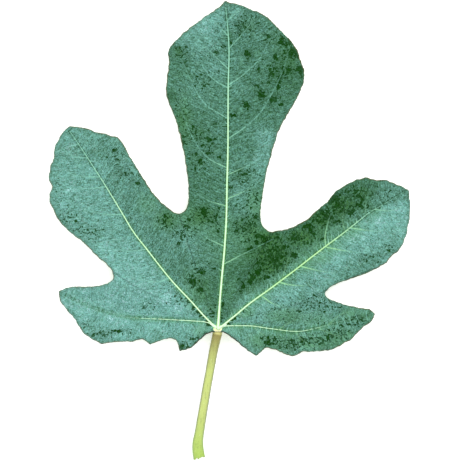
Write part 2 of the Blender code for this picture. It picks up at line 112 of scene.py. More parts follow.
# The finer forms that only the looks have: how close their points are, and their random seed
OUTLINE_POINT_STEP = 0.6
TOP_GRID_STEP = 0.6
UNDER_GRID_STEP = 0.86
CLEAR_OF_LINES = 0.36
SEED = 11

# The blade's edge, thinner, rounded and a little uneven everywhere but beside the joint
EDGE_THICKNESS = 0.42
EDGE_TAPER = 2.2
ROUNDED_EDGE = 0.12
UNEVEN_EDGE = 0.42
UNEVEN_SIZES = (2.6, 0.9)
UNEVEN_LAYERS = (1.0, 3.0)
UNEVEN_RISE = 8.0
EVEN_AT_JOINT = 0.4

# The small relief of the faces: finer veins, the quilting between them and crinkles
CROSS_VEIN_GROOVE = 0.14
CROSS_VEIN_RIDGE = 0.32
CROSS_VEIN_REACH = 0.55
QUILT_HEIGHT = 0.34
QUILT_REACH = 1.9
QUILT_UNDERNEATH = 0.6
CRINKLE_HEIGHT = 0.24
CRINKLE_SIZES = (1.9, 0.9)
CRINKLE_LAYERS = (4.0, 9.0)
RELIEF_FADE = 2.5
THINNEST_PART = 0.8
VEIN_LEAN = 0.4

# How the finer veins grow: their gaps, their leans in radians, how they wander and where they end
CROSS_VEIN_GAP = 4.6
CROSS_VEIN_STEP = 0.6
CROSS_VEIN_LONGEST = 18.0
CROSS_VEIN_DENSER_ON_RIBS = 0.8
CROSS_VEIN_START = (0.6, 1.0)
CROSS_VEIN_SPREAD = (0.75, 1.25)
CROSS_VEIN_LEAN = (1.25, 1.6)
CROSS_VEIN_STEADY = 0.6
CROSS_VEIN_WANDER = 0.06
CROSS_VEIN_FEWEST_POINTS = 5
END_AT_EDGE = 0.9
END_AT_RIB = 0.45
END_AT_VEIN = 0.4
STEPS_OFF_OWN_RIB = 5
OUTLINE_SKIP = 4

# How a face is filled with triangles; the first two are parts of the grid's step
GRID_CLEAR_OF_EDGE = 0.7
LINES_CLEAR_OF_EACH_OTHER = 0.6
INSIDE_TEST_PARTS = 60
MERGE_DISTANCE = 0.0001
NEAREST_TRIED = 4
FAR = 1e9

# The blade's edge, one run from each tip, tooth or corner to the next, counter-clockwise
EDGE_MIDDLE_TIP_TO_LEFT_BASE_TIP = [
    (3.5, 164.5), (-0.8, 160.6), (-6.8, 156.5), (-14.0, 150.8), (-19.0, 146.5), (-23.6, 141.5),
    (-24.8, 137.8), (-24.4, 133.0), (-25.4, 126.0), (-25.8, 118.0), (-23.8, 111.5), (-20.9, 104.5),
    (-18.6, 96.0), (-16.8, 87.2), (-15.3, 78.0), (-14.6, 69.0), (-15.2, 62.5), (-17.4, 58.8),
    (-21.2, 58.6), (-26.0, 61.8), (-31.0, 66.5), (-36.5, 74.6), (-43.9, 86.4), (-48.4, 94.5),
    (-53.0, 97.0), (-59.8, 98.7), (-67.0, 101.0), (-72.2, 101.8), (-75.6, 101.0), (-79.1, 96.7),
    (-81.8, 89.8), (-81.9, 86.0), (-83.9, 81.0), (-84.2, 75.4), (-82.6, 71.4), (-84.1, 67.2),
    (-82.9, 61.7), (-79.3, 54.8), (-73.3, 48.5), (-66.5, 43.2), (-61.2, 37.6), (-55.6, 33.0),
    (-52.5, 28.4), (-52.6, 25.0), (-56.7, 22.9), (-64.2, 21.7), (-73.7, 21.4), (-80.0, 19.3),
]
EDGE_LEFT_BASE_TIP_TO_OUTER_TOOTH = [
    (-80.0, 19.3), (-78.3, 13.4), (-73.4, 7.6), (-69.1, 1.0), (-65.9, -2.8), (-59.6, -6.5),
    (-57.0, -7.0), (-51.5, -5.9), (-43.4, -5.6), (-38.5, -4.7), (-36.0, -5.4), (-33.9, -7.0),
]
EDGE_OUTER_TOOTH_TO_INNER_TOOTH = [
    (-33.9, -7.0), (-27.2, -4.7), (-22.8, -4.2), (-20.4, -5.7), (-18.9, -10.3),
]
EDGE_INNER_TOOTH_TO_JOINT = [
    (-18.9, -10.3), (-13.8, -8.9), (-9.7, -5.4), (-6.5, -2.4), (-3.0, -0.9),
]
EDGE_AT_JOINT = [(-3.0, -0.9), (2.6, -0.9)]
EDGE_JOINT_TO_RIGHT_BASE_TIP = [
    (2.6, -0.9), (6.6, -3.2), (12.9, -8.4), (18.4, -12.2), (20.8, -11.2), (23.3, -8.9),
    (28.4, -9.7), (33.6, -12.1), (37.6, -13.0), (42.8, -11.0), (49.0, -10.6), (55.1, -10.1),
    (61.2, -7.7), (66.7, -4.6), (71.2, -0.2), (76.9, 4.6), (78.7, 8.0),
]
EDGE_RIGHT_BASE_TIP_TO_RIGHT_TIP = [
    (78.7, 8.0), (75.6, 10.3), (68.9, 11.2), (62.3, 12.8), (55.6, 15.4), (53.2, 18.2),
    (55.2, 20.7), (59.6, 23.4), (68.3, 26.4), (75.4, 29.1), (83.3, 33.3), (86.4, 36.8),
    (90.3, 40.0), (93.6, 46.2), (95.3, 53.5), (96.1, 60.0), (95.7, 68.8), (94.7, 70.4),
]
EDGE_RIGHT_TIP_TO_MIDDLE_TIP = [
    (94.7, 70.4), (88.4, 73.2), (84.0, 74.9), (78.6, 75.0), (73.7, 76.0), (69.4, 75.0),
    (63.4, 72.4), (58.2, 68.4), (54.9, 64.2), (49.2, 59.5), (43.8, 54.8), (37.2, 51.4),
    (29.6, 49.5), (25.2, 49.3), (22.5, 51.7), (21.0, 57.0), (21.7, 64.8), (23.7, 76.3),
    (26.1, 86.1), (29.7, 98.1), (33.5, 105.8), (37.9, 113.2), (42.3, 122.4), (43.1, 129.0),
    (41.3, 134.3), (39.5, 140.0), (35.2, 146.0), (31.4, 149.1), (26.5, 154.4), (22.6, 157.4),
    (17.2, 159.8), (11.2, 162.3), (3.5, 164.5),
]
EDGE_RUNS = [
    EDGE_MIDDLE_TIP_TO_LEFT_BASE_TIP,
    EDGE_LEFT_BASE_TIP_TO_OUTER_TOOTH,
    EDGE_OUTER_TOOTH_TO_INNER_TOOTH,
    EDGE_INNER_TOOTH_TO_JOINT,
    EDGE_AT_JOINT,
    EDGE_JOINT_TO_RIGHT_BASE_TIP,
    EDGE_RIGHT_BASE_TIP_TO_RIGHT_TIP,
    EDGE_RIGHT_TIP_TO_MIDDLE_TIP,
]

# The five main ribs, from the joint to each lobe's tip
MIDDLE_RIB = [
    (0.0, 0.5), (1.0, 15.0), (2.0, 27.0), (3.4, 42.5), (4.2, 57.0), (4.5, 73.5), (4.9, 88.0),
    (5.0, 104.0), (5.1, 122.5), (5.5, 139.0), (4.9, 151.0), (3.9, 161.5),
]
LEFT_RIB = [
    (0.0, 0.5), (-6.2, 6.4), (-13.5, 14.5), (-23.8, 25.5), (-35.6, 40.4), (-42.3, 49.0),
    (-47.7, 57.9), (-56.4, 72.3), (-66.8, 88.4), (-71.3, 95.1), (-74.4, 99.6),
]
RIGHT_RIB = [
    (0.0, 0.5), (8.5, 7.3), (16.1, 13.6), (26.4, 21.0), (36.1, 28.2), (46.5, 36.2), (53.8, 41.8),
    (62.3, 48.1), (70.5, 54.6), (76.2, 59.0), (83.3, 63.1), (93.0, 68.9),
]
LEFT_BASE_RIB = [
    (0.0, 0.5), (-5.0, 3.8), (-14.0, 4.7), (-26.7, 5.3), (-44.0, 6.2), (-54.3, 8.6),
    (-65.7, 12.4), (-78.0, 18.2),
]
RIGHT_BASE_RIB = [
    (0.0, 0.5), (3.1, 2.0), (9.0, 2.3), (17.2, 2.1), (26.0, 0.8), (38.7, -0.7), (47.4, 0.5),
    (61.0, 4.0), (76.6, 7.7),
]
MAIN_RIBS = [MIDDLE_RIB, LEFT_RIB, RIGHT_RIB, LEFT_BASE_RIB, RIGHT_BASE_RIB]
LARGE_RIBS = 3
RIGHT_LARGE_RIB = 2
# For each main rib: its width against the common one, how yellow it is, and its arm on the joint
RIB_SIZES = (1.1, 0.8, 0.86, 0.38, 0.42)
RIB_WARMTHS = (0.0, 0.0, 1.0, 0.0, 0.2)
JOINT_ARMS = (2.4, 2.8, 2.6, 1.0, 1.0)
# How a rib narrows, how much wider its foot is, and how soon the foot ends
RIB_TAPER = (1.9, 0.9)
RIB_FOOT = 0.4
RIB_FOOT_ENDS = 26.0
RIB_SIDES = 10
SIDE_RIB_SIDES = 8
SIDE_RIB_NARROWS = 0.55
# How far a rib sinks into the face in half widths, how high it stands for its width, and its sides
RIB_PROFILE = (0.0, 0.75, RIB_SIDES)
SIDE_RIB_PROFILE = (0.25, 0.8, SIDE_RIB_SIDES)
# How many points a rib's height is smoothed over
SMOOTHED_POINTS = 5
# A rib's tone runs ahead near its tip: from and over which part of its length, and how much
TIP_TONE = (0.6, 0.4, 0.25)
# The right rib thins before its tip: where it would end, over which part, and its least width
RIGHT_RIB_THINS = (0.94, 0.18, 0.4)
# The part of their length over which the left and the right base rib show well, and how they thin
BASE_RIBS_SHOW = (0.66, 0.84)
BASE_RIBS_THIN_OVER = 0.25
BASE_RIBS_THINNEST = 0.3
BASE_RIB_TONES = (0.22, 0.7)
BASE_RIB_FLANK = 0.5

# Side ribs, each from its main rib outward, ending short of the edge
SIDE_RIBS = [
    [(3.1, 41.8), (-4.7, 45.6), (-11.2, 50.2)],
    [(3.8, 62.1), (-5.1, 64.8), (-12.2, 69.2)],
    [(4.4, 81.2), (-3.5, 85.0), (-9.5, 91.0), (-14.1, 99.2), (-18.2, 109.0), (-22.3, 116.5)],
    [(4.8, 105.9), (-5.0, 111.8), (-10.0, 117.8), (-14.4, 126.5), (-17.7, 134.5)],
    [(4.6, 121.4), (-1.5, 124.9), (-6.4, 129.8), (-9.5, 136.5)],
    [(4.8, 131.1), (-3.5, 139.0), (-11.2, 146.5)],
    [(4.9, 147.5), (0.5, 152.0), (-3.0, 155.5)],
    [(2.8, 32.9), (12.6, 38.0), (20.8, 42.1), (27.6, 45.6)],
    [(4.5, 65.5), (15.3, 70.3), (19.7, 73.0)],
    [(4.8, 77.7), (12.3, 81.0), (18.3, 84.0), (22.6, 88.0)],
    [(5.5, 96.0), (13.9, 101.8), (20.7, 108.2), (26.2, 116.8), (32.7, 130.3), (35.0, 138.5)],
    [(5.8, 123.0), (12.9, 128.0), (20.5, 135.3), (26.5, 146.0)],
    [(5.8, 141.2), (14.2, 150.4), (18.0, 155.5)],
    [(4.8, 155.0), (11.0, 160.0)],
    [(-36.2, 40.4), (-43.0, 39.5), (-51.0, 40.0), (-58.0, 41.8)],
    [(-48.2, 57.8), (-53.8, 57.7), (-60.2, 58.5), (-67.3, 60.7), (-75.0, 64.5)],
    [(-56.5, 71.5), (-68.5, 70.5), (-78.5, 72.5)],
    [(-59.5, 76.5), (-71.1, 77.2), (-79.0, 81.5)],
    [(-65.5, 86.0), (-72.5, 87.0), (-78.0, 91.0)],
    [(-24.4, 26.0), (-29.9, 24.1), (-38.0, 25.0), (-46.5, 27.5)],
    [(-28.2, 31.1), (-24.0, 35.2), (-21.5, 43.0), (-21.5, 51.0)],
    [(-42.0, 48.6), (-37.0, 57.0), (-36.0, 66.0)],
    [(-51.0, 63.0), (-47.0, 72.0), (-47.5, 82.0)],
    [(-59.0, 76.0), (-56.0, 84.0), (-57.0, 93.0)],
    [(30.4, 23.9), (38.0, 22.4), (47.5, 22.6)],
    [(41.5, 31.8), (50.8, 29.6), (59.5, 28.3)],
    [(54.0, 41.5), (65.0, 39.4), (76.0, 38.9), (84.5, 41.0)],
    [(67.0, 51.0), (74.8, 49.8), (81.3, 49.5), (89.5, 52.5)],
    [(78.5, 60.3), (86.0, 59.6), (92.0, 61.5)],
    [(32.0, 25.2), (34.5, 34.0), (38.5, 43.5)],
    [(53.8, 42.0), (53.7, 48.0), (56.0, 57.5)],
    [(63.5, 49.0), (62.3, 56.5), (64.5, 66.0)],
    [(74.0, 57.3), (74.0, 64.5), (76.5, 71.5)],
    [(-26.7, 5.3), (-32.0, 10.5), (-38.0, 15.5)],
    [(-44.0, 6.2), (-50.5, 12.0), (-57.0, 17.5)],
    [(-33.5, 5.6), (-39.0, 1.5), (-44.0, -1.5)],
    [(-54.3, 8.6), (-60.0, 4.5), (-64.5, 1.5)],
    [(-14.0, 4.7), (-17.0, 0.5), (-18.5, -5.0)],
    [(22.0, 17.0), (28.0, 13.0), (36.0, 11.0)],
    [(17.2, 2.1), (22.0, -2.0), (25.0, -5.0)],
    [(38.7, -0.7), (41.5, -4.5), (46.0, -7.5)],
    [(30.0, 0.2), (38.0, 5.0), (47.0, 8.5)],
    [(50.0, 1.0), (56.5, -2.0), (62.0, -3.5)],
    [(55.0, 2.2), (60.5, 7.0), (66.0, 9.0)],
]

# The side ribs that hardly show on the upper face, by their first x and y
FAINT_SIDE_RIBS = [
    (-28.2, 31.1), (-42.0, 48.6), (-51.0, 63.0), (-59.0, 76.0), (32.0, 25.2), (63.5, 49.0), (74.0, 57.3),
    (-26.7, 5.3), (-44.0, 6.2), (-33.5, 5.6), (-54.3, 8.6), (-14.0, 4.7), (17.2, 2.1), (38.7, -0.7),
    (30.0, 0.2), (50.0, 1.0), (55.0, 2.2),
]

# The stalk's middle line as in the packed model: x, y, height and radius, to the cut end
STALK_ROUTE = [
    (-0.3, -1.25, 5.9, 2.35), (-0.9, -4.25, 5.75, 2.25), (-2.4, -11.25, 5.3, 2.15),
    (-4.2, -21.25, 4.6, 2.1), (-6.0, -31.25, 4.0, 2.15), (-7.7, -41.25, 3.5, 2.2),
    (-9.3, -51.25, 3.15, 2.3), (-10.1, -56.75, 3.1, 2.6), (-9.9, -60.85, 3.15, 2.85),
    (-9.2, -64.05, 3.2, 2.95),
]
# From the stalk's own top up into the middle of the joint
STALK_ROOT = [(-0.1, 2.6, 7.35, 1.25), (-0.2, 0.9, 6.6, 2.0)]
STALK_SIDES = 64
STALK_POINT_STEP = 0.5
STALK_LOWEST = 0.02

# The stalk's ridges: how high, how many round it, and their turn in a millimetre
STALK_RIDGES = ((0.035, 9.0, 0.12), (0.02, 23.0, -0.3))
STALK_RIDGED = 0.55
# Its soft lumps: how high, how fine round the stalk, and how long
STALK_LUMPY = 0.35
LUMP_HEIGHT = 0.1
LUMP_GRAIN = 1.2
LUMP_LENGTH = 6.0
# Its torn cut end: how its rim frays outward and lengthwise, and how hollow and rough its face is
TORN_FROM = 60.3
TORN_OVER = 2.5
FRAY = 0.22
FRAY_GRAIN = 2.6
FRAY_SLIP = 0.9
FRAY_SLIP_GRAIN = 3.1
CUT_RINGS = 8
CUT_HOLLOW = 0.55
CUT_HOLLOW_POWER = 0.7
CUT_ROUGH = 0.3
CUT_GRAIN = 1.7

# The pale swelling at the joint: its middle, its reach, its rings of points, its arms' width in radians
JOINT_MIDDLE = (-0.15, 0.9)
JOINT_REACH = 2.0
JOINT_WIDER = 0.6
JOINT_RINGS = 14
JOINT_POINTS_AROUND = 72
JOINT_ARM_WIDTH = 0.19
JOINT_ARM_SHOULDER = 0.22
JOINT_HEIGHT = 0.9
JOINT_BETWEEN_ARMS = 0.75
JOINT_SUNK = 0.2
JOINT_DEPTH = 0.6
JOINT_FOOT = 1.0
# The point of each rib that its arm aims at, and where the swelling passes onto the stalk's top
JOINT_AIMED_POINT = 4
JOINT_LEAVES_BLADE = -0.7
JOINT_LEAVES_OVER = 0.5
JOINT_CREAM_TOP = 2.0
JOINT_CREAM_OVER = 2.0
JOINT_CREAM_TONE = -0.3

# Where hairs stand: close to a rib, a side rib or the edge, and over a stretch of the stalk; then how
# far each leans, how deep it is rooted and how its length varies
HAIRS_NEAR_RIB = 1.8
HAIRS_NEAR_SIDE_RIB = 0.8
HAIRS_ALONG_STALK = (0.5, 60.8)
HAIR_EDGE_WITHIN = 0.01
HAIR_LEAN = 0.7
HAIR_ROOT = 0.1
HAIR_LENGTHS = (0.35, 1.0)

# The stage, in metres
FLOOR_HALF = 2.5
MAIN_LIGHT_PLACE = (0.3, 0.42, 0.92)
MAIN_LIGHT_SIZE = 0.9
MAIN_LIGHT_COLOUR = (1.0, 0.99, 0.97)
FILL_LIGHT_PLACE = (-0.7, 0.1, 0.7)
FILL_LIGHT_SIZE = 0.8
FILL_LIGHT_COLOUR = (0.95, 0.98, 1.0)
SKY_COLOUR = (0.95, 0.98, 1.0, 1.0)

# The camera: its sensor and what it looks at in millimetres, and what it sees from and to in metres
SENSOR_WIDTH = 36.0
VIEW_MIDDLE = (6.0, 50.0)
VIEW_LEVEL = 5.0
VIEW_STARTS = 0.05
VIEW_ENDS = 20.0

# Where ribs glow greener, where painted shade darkens the edge beside the stalk, and how side ribs fade
# outward
RIB_GLOW_AT_JOINT = 1.2
RIB_GLOW_REACH = 75.0
NOTCH_MIDDLE = 1.5
NOTCH_REACH = 17.0
NOTCH_TOP = 1.5
SIDE_RIB_DIMS = 0.65
FAINT_SIDE_RIB = 0.3
# Side ribs look warm toward the right, less so at the right lobe's tip and up the middle lobe
WARM_AT_JOINT = 0.55
WARM_RISE = 50.0
WARM_LEAST = 0.15
RIGHT_TIP_COOLER = (92.0, 30.0, 0.3)
TOP_COOLER = (120.0, 60.0, 0.25)

# How softly the places below end, and how strongly the nearest one counts
SPOT_FALL = 0.7
SPOT_SHARPNESS = 1.5
BLEND_EVENNESS = 0.05
NEXT_TO_NOTHING = 1e-9

# How pale the bloom and its painted sheen are: x and y on the blade, how far each place reaches, and
# its level, 0 for none, 1 for full and more where a painted glint shows; the painted sheen lights
# some halves of the lobes and leaves others as if in shade
BLOOM_AND_SHEEN_PLACES = [
    # Middle lobe
    (-14, 146, 9, 0.58), (-6, 153, 6, 0.85), (-8, 125, 10, 0.4), (-19, 131, 6, 0.28), (-20, 140, 3, 0.22),
    (-16, 134, 3, 0.4), (-14, 126, 3, 0.26), (-16, 118, 6, 0.4), (-23, 117, 3, 0.1), (-3, 130, 4, 0.62),
    (-11, 113, 4, 0.44), (-12, 104, 7, 0.28), (-17.5, 104, 3.5, 0.1), (-3, 104, 5, 0.36),
    (-6, 90, 8, 0.31), (-8, 75, 8, 0.27), (-8, 66, 7, 0.24), (6, 159, 7, 0.54), (1, 156, 2.5, 0.82),
    (6, 146, 3, 0.3), (16, 148, 8, 0.38), (18, 130, 9, 0.32), (18, 138, 4, 0.27), (22, 133, 3, 0.42),
    (6, 136, 5, 0.46), (10, 121, 5, 0.42), (32, 128, 8, 0.2), (18, 112, 9, 0.28), (29, 104, 6, 0.32),
    (14, 92, 9, 0.34), (24, 95, 7, 0.66), (22, 84, 6, 0.64), (14, 77, 8, 0.43), (15, 62, 7, 0.47),
    (20, 54, 5, 0.28), (21, 46, 4, 0.04), (-6, 48, 8, 0.36), (-17, 45, 6, 0.56), (-12, 32, 3, 0.5),
    (-12, 40, 4, 0.55), (-20, 49, 3, 0.5), (-10, 36, 8, 0.39), (-24, 55, 5, 0.24), (-9, 57, 5, 0.2),
    (-5, 20, 7, 0.21), (10, 46, 7, 0.36), (8, 25, 8, 0.2), (4, 10, 4, 0.24), (15, 39, 4, 0.1),
    (11, 36, 3, 0.26), (16, 15.5, 2.5, 0.8), (20.5, 19.5, 2.5, 0.6),
    # Left lobe
    (-70, 92, 9, 0.6), (-75, 75, 10, 0.73), (-70, 62, 10, 0.74), (-62, 50, 10, 0.64), (-58, 40, 9, 0.88),
    (-46, 37, 9, 0.78), (-50, 28, 7, 0.96), (-42, 26, 8, 0.85), (-28, 20, 8, 0.88), (-20, 20, 3, 0.52),
    (-53.5, 45, 4, 0.52), (-26.5, 23, 3, 0.72), (-57, 54, 4, 0.9), (-44, 35.5, 4, 1.06),
    (-38, 31, 4, 0.94), (-20, 13, 6, 0.92), (-11, 16, 3, 0.34), (-60, 89, 7, 0.5), (-60, 79, 6, 0.8),
    (-66, 79, 5, 0.82), (-58, 68, 5, 0.8), (-43, 81, 4, 0.64), (-52, 58, 6, 0.74), (-50, 74, 9, 0.51),
    (-75, 95, 5, 0.78), (-40, 71, 5, 0.42), (-42, 62, 8, 0.52), (-33, 50, 9, 0.47), (-28, 45, 4, 0.57),
    (-25, 40, 9, 0.46), (-18, 30, 8, 0.36),
    # Left base lobe
    (-70, 12, 10, 0.9), (-52, 8, 10, 0.96), (-34, 10, 10, 0.98), (-40, 16, 5, 0.98), (-44, 11, 4, 1.0),
    (-59, 11, 4, 0.8), (-62, 5, 3, 0.66), (-16, 6, 8, 0.78), (-60, -3, 6, 0.66), (-41, 0, 7, 0.84),
    (-30, -3, 3.5, 0.56), (-22, 0, 7, 0.84), (-14, -5, 5, 0.68), (-17, -8, 3, 0.45),
    # Right lobe
    (30, 36, 12, 0.18), (20, 29, 8, 0.08), (45, 50, 8, 0.12), (57, 59, 9, 0.2), (72, 68, 9, 0.2),
    (79, 64, 5, 0.46), (88, 70, 6, 0.5), (32, 27.5, 4, 0.6), (36, 32, 2.2, 0.56), (26, 25.5, 3, 0.58),
    (40.5, 34, 4, 0.6), (50.5, 42, 4, 0.5), (60, 49, 4, 0.54), (68, 55.5, 4, 0.5), (30, 18, 8, 0.76),
    (37, 20, 4, 0.86), (36, 24.5, 2.4, 0.44), (28, 20.5, 2, 0.6), (50, 27, 4, 0.86), (45, 28, 8, 0.68),
    (60, 37, 9, 0.8), (76, 47, 9, 0.85), (80, 36, 4, 0.42), (73, 32, 4, 0.46), (88, 48, 3, 0.62),
    (88, 54, 8, 0.84), (82, 38, 8, 0.66), (66, 29, 8, 0.5), (50, 21, 8, 0.62), (42, 16.5, 3, 0.5),
    (84, 60.5, 2.5, 0.62), (52, 45.5, 2.5, 0.22),
    # Right base lobe
    (6, 0, 3.5, 0.8), (13, 6, 6, 0.68), (13, -1, 3, 0.56), (30, 6, 9, 0.58), (35, 6, 4.5, 0.37),
    (14, 10, 3, 0.62), (21, 6, 4, 0.8), (28, 13, 3, 0.84), (50, 8, 9, 0.74), (53, 6, 3, 0.84),
    (66, 8, 8, 0.58), (14, -8, 4, 0.7), (21, -7, 5, 0.48), (34, -6, 7, 0.5), (45, -8, 5, 0.72),
    (55, -5, 6, 0.42), (70, 3, 6, 0.48),
    # Small spots of painted glint
    (-26.5, 15.3, 3.5, 1.45), (-57.5, 42, 3, 1.2), (-52, 6, 3, 1.3), (-46.5, 4, 3, 1.3),
    (81, 55, 3.5, 1.25), (74, 46.5, 3, 1.2), (67, 45, 3, 1.2), (59, 36, 3.5, 1.2), (-74, 70, 3, 1.1),
    (-76, 62, 3, 1.15), (33, 15, 3, 1.1), (24, 11, 3, 0.85), (45, 17, 3, 0.85), (-65, 8, 3, 1.15),
    (91, 60, 3, 1.0), (-20, 11.8, 3.2, 1.48), (64, 7, 2.5, 0.6),
]

# Where the blade is a fresher green under its bloom: x, y, reach along x and y, and how fully
LUSH_PLACES = [
    # Upper side of the right rib
    (20, 18, 7, 5, 0.7), (30, 26, 8, 5, 0.8), (42, 35, 8, 6, 1.0), (53, 43, 8, 6, 1.15),
    (64, 51, 8, 6, 0.9), (75, 59, 7, 5, 0.6), (15, 39, 5, 5, 0.7), (51, 36, 5, 3, 0.9),
    (52, 49, 6, 4, 0.9), (13, 9, 5, 3, 1.1),
    # Right base lobe
    (8, 0, 6, 3, 0.5), (-8, 0, 4, 3, 0.8), (24, -5, 9, 4, 1.1), (32, -5, 10, 6, 0.9),
    (46, -6, 10, 4, 1.2), (60, -4, 8, 6, 0.9), (34, 7, 10, 4, 0.9), (50, 4, 10, 5, 0.8),
    (66, 8, 5, 3, 1.0), (74, 7, 4, 3, 0.8), (64, -3, 5, 3, 1.0),
    # Between the middle lobe, the side lobes and the joint
    (-26, 55, 6, 5, 0.9), (-12, 56, 9, 6, 0.8), (3, 50, 10, 8, 0.7), (14, 46, 8, 7, 0.8),
    (20, 48, 6, 5, 1.0), (-17, 104, 3.5, 12, 0.8), (20, 63, 5, 7, 1.0), (-35, 63, 5, 5, 0.6),
    (-11, 20, 6, 9, 0.8), (-3, 8, 4, 5, 0.9), (5, 38, 9, 8, 0.5), (6, 18, 5, 8, 0.4),
]
